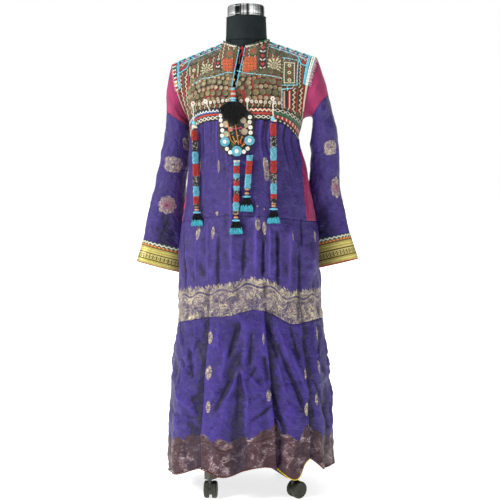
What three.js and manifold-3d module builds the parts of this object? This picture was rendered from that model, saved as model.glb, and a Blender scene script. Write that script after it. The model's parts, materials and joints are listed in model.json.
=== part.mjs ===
// Afghan dress of embroidered, plain and brocade cloth, on a limbless dress form with a castered stand.
// Millimetres, +Z up. The front faces -Y and +X is the wearer's left. The casters stand on z = 0.

import * as THREE from "three";
import { mergeVertices } from "three/addons/utils/BufferGeometryUtils.js";
import Module from "manifold-3d";

const wasm = await Module();
wasm.setup();

// Driving dimensions
const CLOTH = 2; // wall of the cloth
const STIFF = 3; // wall of the stiffened cuffs
const SEAM = 0.3; // gap between two sewn pieces
const SEAT = 0.5; // gap between a piece and what it lies on
const EASE = 0.2; // what the gap over the waistband needs more, because the yoke has fewer columns
const ORIGIN = new THREE.Vector3(15.5, 0, 0); // moves the middle of the whole part over the origin
const BASE_TURN = 10; // the base stands turned by this much under the form
const GATHERS = { count: 30, deep: 3.4, fade: 210 }; // small gathers under the waistband
const COLUMNS = { shoulder: 6, neck: 3, front: 50, back: 38, gusset: 4, half: 40, sleeve: 16, band: 56 };

// Neck and shoulders of the dress. The tips are the outer ends of the shoulder seams.
const DRESS_TOP = {
  neck: 67,
  neckFront: 66,
  neckBack: 62,
  neckZ: 1342,
  dipFront: 22,
  dipBack: 5,
  tips: { l: { x: 208, z: 1290 }, r: { x: -228, z: 1284 } },
  bulge: 50,
  neckShare: 0.36,
};
const SLIT = { deep: 0.69, wide: 7, narrow: 2, lean: -14 };
const YOKE_REACH = 250; // half width over which a place across the yoke is read from x
const SEAM_RADIUS = 160; // mean radius at which the skirt's upright seams are measured

// A table: the names of its columns, then its rows
function table(columns, ...rows) {
  return rows.map((row) => Object.fromEntries(columns.map((name, i) => [name, row[i]])));
}

// The body of the dress: half width, depth in front and behind, and sideways shift at each height
const BODY = table(
  ["z", "half", "front", "back", "shift"],
  [50, 253, 193, 186, -8],
  [173, 252, 189, 182, -7],
  [266, 247, 184, 178, -5],
  [389, 236, 175, 171, -2],
  [496, 222, 164, 163, 0],
  [572, 217, 158, 157, 0],
  [654, 214, 152, 151, 0],
  [754, 210, 146, 146, 0],
  [814, 201, 142, 141, 0],
  [904, 187, 137, 128, 0],
  [978, 173, 132, 114, -2],
  [1050, 162, 128, 102, -9],
  [1108, 169, 127, 99, -5],
  [1160, 171, 124, 98, -5],
);

// Heights of the woven bands and the hem round the skirt, by the turn from the front towards +X
const LEVELS = table(
  ["turn", "gold", "goldLow", "border", "hem"],
  [-90, 606, 502, 154, 56],
  [-50, 622, 522, 178, 68],
  [-25, 634, 540, 203, 100],
  [-8, 645, 546, 195, 84],
  [10, 660, 564, 210, 114],
  [24, 650, 552, 240, 112],
  [40, 619, 521, 192, 74],
  [52, 619, 521, 228, 126],
  [68, 619, 525, 184, 86],
  [90, 616, 522, 178, 80],
  [130, 614, 518, 182, 78],
  [180, 618, 522, 180, 76],
  [230, 612, 512, 172, 66],
);

// The large folds of the skirt: turn at the hem and at their upper end, where they begin, half width
// and depth (out is positive), and how far their crest leans over to one side at the hem
const FOLDS = table(
  ["hem", "top", "from", "wide", "deep", "lean"],
  [-84, -78, 700, 8, -9, 0],
  [-66, -62, 560, 8, -8, 2],
  [-50, -48, 1000, 15, 8, 0],
  [-37, -38, 420, 6, -6, 0],
  [-25, -24, 640, 6, -22, 4],
  [-14, -18, 900, 9, 10, 0],
  [1, 1, 400, 6, -12, 0],
  [12, 8, 700, 8, 8, 2],
  [24, 17, 640, 6, -24, -4],
  [38, 34, 800, 10, 11, 0],
  [52, 50, 640, 5, -21, 3],
  [63, 62, 900, 8, 9, 0],
  [76, 74, 520, 6, -9, 0],
  [98, 95, 620, 9, 8, 0],
  [112, 114, 700, 7, -16, -3],
  [128, 128, 1000, 12, 9, 0],
  [143, 141, 560, 6, -12, 2],
  [163, 166, 660, 8, -20, 3],
  [178, 176, 1000, 11, 9, 0],
  [196, 193, 640, 7, -18, -3],
  [214, 216, 900, 12, 9, 0],
  [229, 226, 600, 7, -15, 2],
  [247, 250, 720, 8, -13, 0],
  [260, 259, 900, 9, 7, 0],
);

// Each sleeve from the armhole to the cuff's edge: middle, half width and half depth of the ring,
// how far its outer end is raised, and how far its inner end is turned back behind the body
const SLEEVES = {
  l: table(
    ["x", "y", "z", "half", "deep", "tilt", "yaw"],
    [186.2, 0, 1199, 93.6, 50, 76.6, 0],
    [203, 6, 1175, 62, 57, 66, 0],
    [217.8, 8, 1146.5, 40, 58, 54, 0],
    [223, 12, 1103, 39, 54, 38, 4],
    [226, 22, 1048, 42, 50, 18, 10],
    [226, 40, 975, 45, 45, 8, 16],
    [224, 55, 895, 49, 41, 7, 20],
    [232, 72, 820, 58, 37, 9, 24],
    [238, 84, 757, 68, 33, 13, 25],
    [256, 88, 678, 75, 34, 14, 25],
  ),
  r: table(
    ["x", "y", "z", "half", "deep", "tilt", "yaw"],
    [201.2, 0, 1196, 92, 50, 73.1, 0],
    [213, 6, 1161, 58, 57, 58, 0],
    [211, 10, 1121.5, 42.4, 58, 34, 0],
    [217, 16, 1072, 41, 53, 22, 4],
    [227, 26, 1011, 44, 48, 11, 8],
    [246, 38, 930, 47, 44, 8, 10],
    [257, 42, 860, 54, 41, 9, 12],
    [268, 46, 797, 61, 37, 11, 12],
    [273, 48, 737, 69, 33, 15, 14],
    [288, 50, 669, 76, 34, 15.5, 14],
  ),
};
const SLEEVE_ENDS = { seam: 2, join: 4.5, cuff: 8, edge: 9 };

// Soft folds of the sleeves: place along the sleeve, angle round it, spreads and depth
const SLEEVE_FOLDS = table(
  ["side", "at", "angle", "long", "round", "deep"],
  ["l", 3.1, 80, 0.35, 60, -5],
  ["l", 3.8, 40, 0.3, 50, 4],
  ["l", 4.6, 110, 0.4, 55, -5],
  ["l", 5.6, 60, 0.5, 45, 4],
  ["l", 6.6, 100, 0.45, 50, -4],
  ["l", 5.2, 260, 0.8, 50, -4],
  ["r", 3.2, 90, 0.35, 55, -5],
  ["r", 4.0, 50, 0.3, 50, 4],
  ["r", 4.8, 100, 0.4, 60, -5],
  ["r", 5.9, 50, 0.5, 50, 4],
  ["r", 6.9, 110, 0.4, 50, -4],
  ["r", 5.4, 270, 0.8, 50, -4],
);

// The four bead strands: sideways place at the top and foot, the height where each stretch begins, and
// how much closer to the cloth the strand and its tassel lie
const STRANDS = table(
  ["xTop", "xLow", "cord", "bead", "shell", "roll", "wood", "ring", "tassel", "tip", "near", "tasselNear"],
  [-143, -130, 1150, 1105, 1092, 1079, 861, 846, 837, 802, 4.1, -1.1],
  [-7, -10, 0, 996, 996, 990, 842, 824, 815, 780, 1.1, 3.7],
  [31, 18, 0, 1010, 1010, 1004, 911, 892, 882, 844, 1.4, 4.2],
  [95, 97, 1157, 1111, 1105, 1093, 869, 857, 844, 810, 2.6, 1.6],
);
const STRAND = { cord: 2, bead: 6, shell: 8, roll: 9.5, notch: 8.2, wood: 10.5, ring: 12, flat: 0.68, sides: 7, stretch: 70 };
const TASSEL = { head: 7, root: 5, spread: 18, strands: 12, thick: 1.6, depth: 4 };

// The amulet and its parts
const PAD = { x: -10.5, half: 52, top: 1150, straight: 1054, thick: 5, out: 4 };
const STEM = { x: -16, z: 1196, radii: [6, 9, 8, 9, 9, 7.5], bead: 6.4, near: 0.7 };
const TUFT = { x: -15, z: 1154, half: 26, spread: 44, long: 58, strands: 22, thick: 2.2, lift: 5.5 };
const ROSETTES = table(["x", "z", "r"], [-40, 1044.6, 14], [27.5, 1047, 14], [-6.8, 1017, 15]);
const ROSETTE_THICK = { edge: 3, button: 5.5, lift: 0.7 };

// Rows of coins across the yoke: place down the yoke, first and last place across, coins and radius
const COINS = table(
  ["down", "from", "to", "count", "radius"],
  [0.69, -0.7, 0.5, 14, 8],
  [0.82, -0.72, 0.53, 15, 7.5],
  [0.925, -0.7, 0.52, 16, 6],
);
const COIN_THICK = 1.4;

// Trims on the shoulder edges
const TRIM = { from: 0.88, to: 0.985, down: 0.03, low: 0.5, thick: 3 };

// The dress form under the cloth, by height; it starts below the shoulders
const FORM = table(
  ["z", "half", "front", "back"],
  [690, 150, 98, 108],
  [702, 163, 107, 117],
  [770, 168, 112, 121],
  [860, 147, 103, 108],
  [950, 119, 90, 82],
  [1030, 128, 97, 79],
  [1115, 150, 116, 88],
);
const FORM_TOP = { inset: 2.5, neckInset: 1, tip: 190, neck: 62, neckFront: 60, neckBack: 56, bulge: 41 };
const NECK = { r: 58, top: 1413, cap: 55, capTop: 1447 };

const NECK_CORD = { r: 2.2, lift: 0.6 };
const TIE = { knot: 5, slope: 30, out: 1.1 };

// The stand
const POLE = { r: 12.5 };
const HUB = { r: 30, low: 92, top: 128 };
const LEG = { wide: 22, drop: 40, end: 184, boss: 15, rise: 4 };
const CASTER = { at: 172, wheel: 25, tread: 13, hood: 24, plate: 11, axle: 4, stem: 5, top: 60, trail: 14, gap: 0.4, skirt: 9 };
const CASTERS = table(
  ["name", "leg", "heading"],
  ["front_r", -135, 95],
  ["front_l", -45, 45],
  ["back_l", 45, 200],
  ["back_r", 135, 320],
);

const FULL = 360;
const rad = THREE.MathUtils.degToRad;
const mix = THREE.MathUtils.lerp;
const clamp = THREE.MathUtils.clamp;
const vec = (x, y, z) => new THREE.Vector3(x, y, z);
const smooth = (t) => THREE.MathUtils.smoothstep(t, 0, 1);

// Materials
const MATERIALS = {
  silk: [0x4b3c8c, 0.55, 0],
  magenta: [0xa8326a, 0.7, 0],
  brocade: [0xc8b858, 0.5, 0.2],
  embroidery: [0x6b5430, 0.85, 0],
  braid: [0x8a2a24, 0.8, 0],
  piping: [0xd0a828, 0.7, 0],
  black: [0x141414, 0.9, 0],
  turquoise: [0x49b4c8, 0.35, 0],
  red: [0xc8281e, 0.4, 0],
  coin: [0x8c8468, 0.4, 0.8],
  form: [0x2e3836, 0.6, 0],
  chrome: [0xd8d8d8, 0.12, 1],
  steel: [0x5a5c5e, 0.4, 0.9],
  wheel: [0x3a3a2a, 0.5, 0],
};
const shades = Object.fromEntries(
  Object.entries(MATERIALS).map(([name, [color, roughness, metalness]]) => [
    name,
    new THREE.MeshStandardMaterial({ color, roughness, metalness }),
  ]),
);

// A smooth curve through one column of a table, read at any place
function curve(rows, key, column) {
  const xs = rows.map((row) => row[key]);
  const ys = rows.map((row) => row[column]);
  const slopes = xs.map((_, i) => {
    const before = Math.max(i - 1, 0);
    const after = Math.min(i + 1, xs.length - 1);
    return (ys[after] - ys[before]) / (xs[after] - xs[before]);
  });
  return (place) => {
    let i = 0;
    while (i < xs.length - 2 && place > xs[i + 1]) i += 1;
    const step = xs[i + 1] - xs[i];
    const t = clamp((place - xs[i]) / step, 0, 1);
    const rise = ys[i] * (1 + 2 * t) * (1 - t) ** 2 + ys[i + 1] * t * t * (3 - 2 * t);
    return rise + step * (slopes[i] * t * (1 - t) ** 2 - slopes[i + 1] * t * t * (1 - t));
  };
}

// A table that runs once round the body, with its ends repeated
function roundTable(rows) {
  const shifted = (by) => rows.map((row) => ({ ...row, turn: row.turn + by }));
  return [...shifted(-FULL), ...rows, ...shifted(FULL)];
}

const body = Object.fromEntries(
  ["half", "front", "back", "shift"].map((column) => [column, curve(BODY, "z", column)]),
);
const level = Object.fromEntries(
  ["gold", "goldLow", "border", "hem"].map((column) => [column, curve(roundTable(LEVELS), "turn", column)]),
);
const formSize = Object.fromEntries(
  ["half", "front", "back"].map((column) => [column, curve(FORM, "z", column)]),
);

// Triangles with shared points, made into a closed mesh that faces out
class Skin {
  constructor() {
    this.points = [];
    this.index = [];
    this.seen = new Map();
  }

  at(p) {
    const key = [p.x, p.y, p.z].map((v) => Math.round(v * 1000)).join();
    if (!this.seen.has(key)) {
      this.seen.set(key, this.points.length);
      this.points.push(p);
    }
    return this.seen.get(key);
  }

  face(a, b, c) {
    const [i, j, k] = [this.at(a), this.at(b), this.at(c)];
    if (i !== j && j !== k && k !== i) this.index.push(i, j, k);
  }

  quad(a, b, c, d) {
    this.face(a, b, c);
    this.face(a, c, d);
  }

  sheet(rows, round) {
    const count = rows[0].length;
    for (let r = 0; r < rows.length - 1; r += 1) {
      for (let c = 0; c < (round ? count : count - 1); c += 1) {
        const d = (c + 1) % count;
        this.quad(rows[r][c], rows[r + 1][c], rows[r + 1][d], rows[r][d]);
      }
    }
  }

  fan(ring, middle, flip) {
    ring.forEach((p, i) => {
      const next = ring[(i + 1) % ring.length];
      this.face(middle, flip ? next : p, flip ? p : next);
    });
  }

  volume() {
    let total = 0;
    for (let i = 0; i < this.index.length; i += 3) {
      const [a, b, c] = this.index.slice(i, i + 3).map((k) => this.points[k]);
      total += a.dot(b.clone().cross(c));
    }
    return total / 6;
  }

  geometry() {
    if (this.volume() < 0) this.index.reverse();
    const made = new THREE.BufferGeometry();
    const flat = this.points.flatMap((p) => [p.x, p.y, p.z]);
    made.setAttribute("position", new THREE.Float32BufferAttribute(flat, 3));
    made.setIndex(this.index);
    return made;
  }
}

// A wall between a grid of outer points and the grid of inner points under them, with holes where
// `open` says so. A round wall closes on itself.
function wall(outer, inner, { round = false, open = () => false } = {}) {
  const skin = new Skin();
  const rim = new Map();
  const count = outer[0].length;
  for (let r = 0; r < outer.length - 1; r += 1) {
    for (let c = 0; c < (round ? count : count - 1); c += 1) {
      if (open(r, c)) continue;
      const d = (c + 1) % count;
      const corners = [[r, c], [r + 1, c], [r + 1, d], [r, d]];
      skin.quad(...corners.map(([i, j]) => outer[i][j]));
      skin.quad(...corners.map(([i, j]) => inner[i][j]).reverse());
      corners.forEach((from, k) => {
        const to = corners[(k + 1) % 4];
        if (!rim.delete(`${to}|${from}`)) rim.set(`${from}|${to}`, [from, to]);
      });
    }
  }
  for (const [[i, j], [k, l]] of rim.values()) {
    skin.quad(outer[k][l], outer[i][j], inner[i][j], inner[k][l]);
  }
  return skin.geometry();
}

// A grid of points from a function of two shares, one down and one across
function grid(rows, columns, at) {
  return Array.from({ length: rows + 1 }, (_, r) =>
    Array.from({ length: columns + 1 }, (_, c) => at(r / rows, c / columns, r, c)),
  );
}

// A closed tube from rings of points, with a fan over each end
function closedTube(rings) {
  const skin = new Skin();
  skin.sheet(rings, true);
  for (const [ring, flip] of [[rings[0], false], [rings[rings.length - 1], true]]) {
    const middle = ring.reduce((sum, p) => sum.add(p), vec(0, 0, 0)).divideScalar(ring.length);
    skin.fan(ring, middle, flip);
  }
  return skin.geometry();
}

// A turned solid from a profile of radii and heights, upright on its axis
function turned(profile, sides) {
  const rising = profile[0][1] < profile[profile.length - 1][1] ? profile : profile.toReversed();
  const points = rising.map(([r, h]) => new THREE.Vector2(r, h));
  return new THREE.LatheGeometry(points, sides).rotateX(Math.PI / 2);
}

// Joins and cuts of closed meshes
function toSolid(geometry) {
  const bare = geometry.index ? geometry.toNonIndexed() : geometry.clone();
  bare.deleteAttribute("normal");
  bare.deleteAttribute("uv");
  const merged = mergeVertices(bare, 1e-3);
  return new wasm.Manifold(
    new wasm.Mesh({
      numProp: 3,
      vertProperties: merged.attributes.position.array,
      triVerts: new Uint32Array(merged.index.array),
    }),
  );
}

function fromSolid(solid) {
  const mesh = solid.getMesh();
  const made = new THREE.BufferGeometry();
  made.setAttribute("position", new THREE.BufferAttribute(new Float32Array(mesh.vertProperties), 3));
  made.setIndex(new THREE.BufferAttribute(new Uint32Array(mesh.triVerts), 1));
  return made;
}

function joined(...geometries) {
  return fromSolid(geometries.map(toSolid).reduce((sum, solid) => sum.add(solid)));
}

const dress = new THREE.Group();
dress.position.copy(ORIGIN);

function piece(name, geometry, shade, parent = dress) {
  const mesh = new THREE.Mesh(geometry, shades[shade]);
  mesh.name = name;
  parent.add(mesh);
  return mesh;
}

// The relief of the folds and gathers at a turn and height, and how far a fold leans round there
function foldsAt(turn, z) {
  let out = 0;
  let lean = 0;
  for (const fold of FOLDS) {
    const grown = smooth((fold.from - z) / (fold.from - 60));
    const away = THREE.MathUtils.euclideanModulo(turn - mix(fold.top, fold.hem, grown) + 180, FULL) - 180;
    out += fold.deep * grown * Math.exp(-((away / fold.wide) ** 2));
    lean += fold.lean * grown * Math.exp(-((away / fold.wide / 1.4) ** 2));
  }
  const wave = Math.cos(rad(GATHERS.count * turn) + 1.1 * Math.sin(rad(3 * turn)) + 0.7 * Math.sin(rad(7 * turn)));
  const kept = 1 - smooth((waistLow(turn) - z) / GATHERS.fade);
  return { out: out + GATHERS.deep * kept * (0.5 + 0.5 * wave), lean };
}

// A point on the body of the dress, moved out along the section's normal
function bodyPoint(turn, z, out = 0) {
  const across = Math.sin(rad(turn));
  const ahead = Math.cos(rad(turn));
  const half = body.half(z);
  const deep = ahead > 0 ? body.front(z) : body.back(z);
  const normal = new THREE.Vector2(across / half, -ahead / deep).normalize();
  return vec(
    body.shift(z) + half * across + out * normal.x,
    -deep * ahead + out * normal.y,
    z,
  );
}

function clothPoint(turn, z, out = 0) {
  const fold = foldsAt(turn, z);
  return bodyPoint(turn + fold.lean, z, fold.out + out);
}

// The heights of the waistband's edges and of the hip seam, which dip towards the sides
function waistTop(turn) {
  return 1142 - 34 * Math.sin(rad(turn)) ** 6;
}

function waistLow(turn) {
  return 1106 - 56 * Math.abs(Math.sin(rad(turn))) ** 5;
}

function hipSeam(turn) {
  return 833 - 22 * Math.sin(rad(turn)) ** 2;
}

// A panel of the skirt between two heights and two turns that may change with the height
function panel({ from, to, top, low, rows, columns, round = false }) {
  const place = (down, across) => {
    let z = 900;
    let turn = 0;
    for (let pass = 0; pass < 4; pass += 1) {
      turn = mix(from(z), to(z), across);
      z = mix(top(turn) - SEAM / 2, low(turn) + SEAM / 2, down);
    }
    return [turn, z];
  };
  const points = (out) => {
    const made = grid(rows, columns, (down, across) => clothPoint(...place(down, across), out));
    if (round) made.forEach((row) => row.pop());
    return made;
  };
  return wall(points(0), points(-CLOTH), { round });
}

// The side gussets widen from a point under the arm to the hip seam
function gussetHalf(z) {
  return mix(1.2, 22, clamp((1052 - z) / (1052 - 812), 0, 1));
}

const seamTurn = SEAM / 2 / rad(1) / SEAM_RADIUS;
const upper = { top: waistLow, low: hipSeam, rows: 4 };
piece(
  "skirt_front",
  panel({
    ...upper,
    from: (z) => -90 + gussetHalf(z) + seamTurn,
    to: (z) => 90 - gussetHalf(z) - seamTurn,
    columns: COLUMNS.front,
  }),
  "silk",
);
piece(
  "skirt_back",
  panel({
    ...upper,
    from: (z) => 90 + gussetHalf(z) + seamTurn,
    to: (z) => 270 - gussetHalf(z) - seamTurn,
    columns: COLUMNS.back,
  }),
  "silk",
);
for (const [side, middle] of [["l", 90], ["r", -90]]) {
  piece(
    `gusset_${side}`,
    panel({
      ...upper,
      from: (z) => middle - gussetHalf(z) + seamTurn,
      to: (z) => middle + gussetHalf(z) - seamTurn,
      columns: COLUMNS.gusset,
    }),
    "magenta",
  );
}
for (const [face, middle] of [["front", 0], ["back", 180]]) {
  const half = {
    from: () => middle - 90 + seamTurn,
    to: () => middle + 90 - seamTurn,
    columns: COLUMNS.half,
  };
  piece(`skirt_mid_${face}`, panel({ ...half, top: hipSeam, low: level.goldLow, rows: 3 }), "silk");
  piece(`skirt_low_${face}`, panel({ ...half, top: level.goldLow, low: level.hem, rows: 5 }), "silk");
}

// Piping along the hem, just below the skirt's edge
function hemPiping() {
  const around = 2 * COLUMNS.half;
  const corners = [[0.8, 0], [-1, -3.4], [-2.8, 0]];
  const rings = Array.from({ length: around }, (_, i) => {
    const turn = (i * FULL) / around;
    const z = level.hem(turn);
    return corners.map(([out, down]) => {
      const p = clothPoint(turn, z, out);
      p.z = z - SEAM / 2 + down;
      return p;
    });
  });
  const skin = new Skin();
  skin.sheet([...rings, rings[0]], true);
  return skin.geometry();
}
piece("hem_piping", hemPiping(), "piping");

// Waistband, standing a little proud
function waistband() {
  const points = (out) => {
    const made = grid(1, COLUMNS.band, (down, across) => {
      const turn = across * FULL;
      return bodyPoint(turn, mix(waistTop(turn) - SEAM / 2, waistLow(turn) + SEAM / 2, down), out);
    });
    made.forEach((row) => row.pop());
    return made;
  };
  return wall(points(0.8), points(0.8 - CLOTH), { round: true });
}
piece("waistband", waistband(), "braid");

// The yoke: a patch on each face from the neck and shoulder seam down to the waistband.
// `across` runs from -1 to 1 and `down` from 0 to 1.
function topEdge(top, face, across) {
  const tip = across < 0 ? top.tips.r : top.tips.l;
  const share = Math.abs(across) / top.neckShare;
  const deep = face === "front" ? -top.neckFront : top.neckBack;
  const dip = face === "front" ? top.dipFront : top.dipBack;
  if (share <= 1) {
    const angle = rad(90 * share);
    const x = Math.sign(across) * top.neck * Math.sin(angle);
    return vec(x, deep * Math.cos(angle), top.neckZ - dip * Math.cos(angle) ** 2);
  }
  const out = (Math.abs(across) - top.neckShare) / (1 - top.neckShare);
  return vec(mix(Math.sign(across) * top.neck, tip.x, out), 0, mix(top.neckZ, tip.z, out));
}

function lowEdge(face, across) {
  const turn = face === "front" ? 90 * across : 180 - 90 * across;
  return bodyPoint(turn, waistTop(turn) + SEAM + EASE);
}

function patch(top, edge, face, across, down) {
  const high = topEdge(top, face, across);
  const low = edge(face, across);
  const way = face === "front" ? -1 : 1;
  const swell = top.bulge * Math.abs(across) ** 1.2 * Math.sin(Math.PI * down) ** 0.8;
  return vec(
    mix(high.x, low.x, down),
    high.y + (low.y - high.y) * Math.sin(rad(90 * down)) + way * (Math.max(swell, 0) + SEAM / 2),
    mix(high.z, low.z, down),
  );
}

// Shares across a patch: the neck's columns, then the shoulders' on both sides
function acrossShares(neckShare, neckColumns, shoulderColumns) {
  const half = [
    ...Array.from({ length: neckColumns }, (_, i) => (neckShare * i) / neckColumns),
    ...Array.from({ length: shoulderColumns + 1 }, (_, i) => mix(neckShare, 1, i / shoulderColumns)),
  ];
  return [...half.slice(1).reverse().map((v) => -v), ...half];
}
const DOWNS = [0, 0.06, 0.17, 0.33, 0.51, 0.69, 0.85, 1];
const ACROSS = acrossShares(DRESS_TOP.neckShare, COLUMNS.neck, COLUMNS.shoulder);

// Outward normal of a yoke patch
function patchNormal(face, across, down) {
  const step = 0.004;
  const a = clamp(across, step - 1, 1 - step);
  const d = clamp(down, step, 1 - step);
  const at = (i, j) => patch(DRESS_TOP, lowEdge, face, i, j);
  const right = at(a + step, d).sub(at(a - step, d));
  const fall = at(a, d + step).sub(at(a, d - step));
  const normal = fall.cross(right).normalize();
  return face === "front" ? normal : normal.negate();
}

// Which way is inwards at a point of the yoke: straight down at the shoulder seam, level at the
// waist, and towards the armhole's middle along the armhole
function inwards(face, across, down) {
  if (down === 1) {
    const turn = face === "front" ? 90 * across : 180 - 90 * across;
    const z = waistTop(turn);
    return bodyPoint(turn, z, -1).sub(bodyPoint(turn, z, 0));
  }
  if (Math.abs(across) === 1) {
    const side = across > 0 ? "l" : "r";
    const from = patch(DRESS_TOP, lowEdge, face, across, down);
    const to = armholeMiddle(side);
    const way = to.sub(from);
    if (down === 0) way.y = 0;
    return way.normalize();
  }
  if (down === 0 && Math.abs(across) >= DRESS_TOP.neckShare) return vec(0, 0, -1);
  return patchNormal(face, across, down).negate();
}

function armholeMiddle(side) {
  const across = side === "l" ? 1 : -1;
  const tip = DRESS_TOP.tips[side];
  const foot = lowEdge("front", across);
  return vec((tip.x + foot.x) / 2, 0, (tip.z + foot.z) / 2);
}

// The slit runs down the middle of the front, so its middle column is split in two there
function yoke(face) {
  const middle = ACROSS.indexOf(0);
  const shares = face === "front" ? ACROSS.toSpliced(middle, 0, 0) : ACROSS;
  const shiftAt = (down, c) => {
    if (face !== "front" || (c !== middle && c !== middle + 1)) return vec(0, 0, 0);
    const share = Math.min(down / SLIT.deep, 1);
    const half = down <= SLIT.deep ? mix(SLIT.wide, SLIT.narrow, share) : SLIT.narrow / 2;
    return vec(SLIT.lean * share + (c === middle ? -half : half), 0, 0);
  };
  const points = (depth) =>
    DOWNS.map((down) =>
      shares.map((across, c) => {
        const p = patch(DRESS_TOP, lowEdge, face, across, down).add(shiftAt(down, c));
        return p.addScaledVector(inwards(face, across, down), depth);
      }),
    );
  const open = (r, c) => face === "front" && c === middle && DOWNS[r + 1] <= SLIT.deep;
  return wall(points(0), points(CLOTH), { open });
}
piece("yoke_front", yoke("front"), "embroidery");
piece("yoke_back", yoke("back"), "embroidery");

// A point on the yoke moved out along its normal
function onYoke(face, across, down, out) {
  return patch(DRESS_TOP, lowEdge, face, across, down).addScaledVector(patchNormal(face, across, down), out);
}

// A strip that lies on the yoke, from a grid of places on it
function onYokeStrip(face, rows, columns, place, thick) {
  const points = (out) => grid(rows, columns, (i, j, r, c) => onYoke(face, ...place(i, j, r, c), out));
  return wall(points(SEAT + thick), points(SEAT));
}

// Rows of coins: a chain that is wide at each coin and narrow between two
COINS.forEach((row, i) => {
  const height = patch(DRESS_TOP, lowEdge, "front", 0, 0).z - waistTop(0);
  const place = (down, across, r, c) => {
    const reach = (c % 2 ? row.radius : row.radius * 0.35) / height;
    return [mix(row.from, row.to, across), row.down + (r ? reach : -reach)];
  };
  piece(`coin_row_${i + 1}`, onYokeStrip("front", 1, row.count * 2, place, COIN_THICK), "coin");
});

// Bead trims along the shoulder edges, on both faces
for (const face of ["front", "back"]) {
  for (const [side, way] of [["l", 1], ["r", -1]]) {
    const place = (down, across) => [way * mix(TRIM.from, TRIM.to, across), mix(TRIM.down, TRIM.low, down)];
    piece(`trim_${face}_${side}`, onYokeStrip(face, 6, 2, place, TRIM.thick), "turquoise");
  }
}

// Neck binding: a cord along the neck edge, open at the slit
function neckBinding() {
  const start = SLIT.wide / DRESS_TOP.neck / (Math.PI / 2) * DRESS_TOP.neckShare + 0.012;
  const edge = (face, share) => patch(DRESS_TOP, lowEdge, face, share, 0);
  const steps = 7;
  const front = (way) => Array.from({ length: steps }, (_, i) =>
    edge("front", way * mix(start, DRESS_TOP.neckShare, i / steps)));
  const back = Array.from({ length: steps * 2 + 1 }, (_, i) =>
    edge("back", mix(DRESS_TOP.neckShare, -DRESS_TOP.neckShare, i / steps / 2)));
  const path = [...front(1), ...back, ...front(-1).reverse()];
  const sides = 5;
  const rings = path.map((p, i) => {
    const along = path[Math.min(i + 1, path.length - 1)].clone().sub(path[Math.max(i - 1, 0)]).normalize();
    const out = vec(p.x, p.y, 0).normalize();
    const up = out.clone().cross(along).normalize();
    const level = up.clone().cross(along).normalize();
    const middle = p.clone().add(vec(0, 0, NECK_CORD.r + SEAM + NECK_CORD.lift)).addScaledVector(out, NECK_CORD.lift);
    return Array.from({ length: sides }, (_, k) => {
      const angle = rad((k * FULL) / sides);
      return middle.clone()
        .addScaledVector(up, NECK_CORD.r * Math.cos(angle))
        .addScaledVector(level, NECK_CORD.r * Math.sin(angle));
    });
  });
  return closedTube(rings);
}
piece("neck_binding", neckBinding(), "turquoise");

// The tie at the slit's top: a knot with two ends that hang in front of the slit
function neckTie() {
  const knot = new THREE.IcosahedronGeometry(TIE.knot, 1);
  const end = (lean, long) => {
    const made = new THREE.CylinderGeometry(1.6, 1.6, long, 6);
    made.rotateX(Math.PI / 2);
    made.translate(0, 0, -long / 2);
    made.rotateY(rad(lean));
    return made;
  };
  const tie = joined(knot, end(7, 46), end(-9, 34));
  tie.rotateX(rad(-TIE.slope));
  return tie.translate(...onYoke("front", 0, 0.03, TIE.out).toArray());
}
piece("neck_tie", neckTie(), "red");

// Sleeves
const sleeveCurves = Object.fromEntries(
  Object.entries(SLEEVES).map(([side, rows]) => {
    const numbered = rows.map((row, i) => ({ ...row, at: i }));
    const columns = Object.keys(rows[0]);
    return [side, Object.fromEntries(columns.map((name) => [name, curve(numbered, "at", name)]))];
  }),
);

function sleevePoint(side, at, angle, out = 0, along = 0) {
  const way = side === "l" ? 1 : -1;
  const ring = Object.fromEntries(
    Object.entries(sleeveCurves[side]).map(([name, read]) => [name, read(at)]),
  );
  const tilt = rad(ring.tilt);
  const yaw = rad(ring.yaw);
  const wide = vec(way * Math.cos(tilt) * Math.cos(yaw), -Math.cos(tilt) * Math.sin(yaw), Math.sin(tilt));
  const deep = vec(-way * Math.sin(yaw), -Math.cos(yaw), 0);
  const axis = wide.clone().cross(deep).multiplyScalar(way);
  let relief = out;
  for (const fold of SLEEVE_FOLDS.filter((row) => row.side === side)) {
    const off = THREE.MathUtils.euclideanModulo(angle - fold.angle + 180, FULL) - 180;
    relief += fold.deep * Math.exp(-(((at - fold.at) / fold.long) ** 2) - (off / fold.round) ** 2);
  }
  return vec(way * ring.x, ring.y, ring.z)
    .addScaledVector(wide, (ring.half + relief) * Math.cos(rad(angle)))
    .addScaledVector(deep, (ring.deep + relief) * Math.sin(rad(angle)))
    .addScaledVector(axis, along);
}

// The sleeve's first ring lies on the armhole
function armholePoint(side, angle, out, along) {
  const across = side === "l" ? 1 : -1;
  const down = (1 - Math.cos(rad(angle))) / 2;
  const face = Math.sin(rad(angle)) >= 0 ? "front" : "back";
  const tip = DRESS_TOP.tips[side];
  const foot = lowEdge("front", across);
  const p = patch(DRESS_TOP, lowEdge, face, across, down);
  p.y -= (face === "front" ? -1 : 1) * (SEAM / 2);
  if (Math.abs(p.y) < SEAM) p.y = 0;
  const middle = armholeMiddle(side);
  const chord = vec(tip.x - foot.x, 0, tip.z - foot.z).normalize();
  const axis = vec(across * chord.z, 0, -across * chord.x);
  return p.addScaledVector(p.clone().sub(middle).normalize(), out).addScaledVector(axis, along);
}

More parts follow.
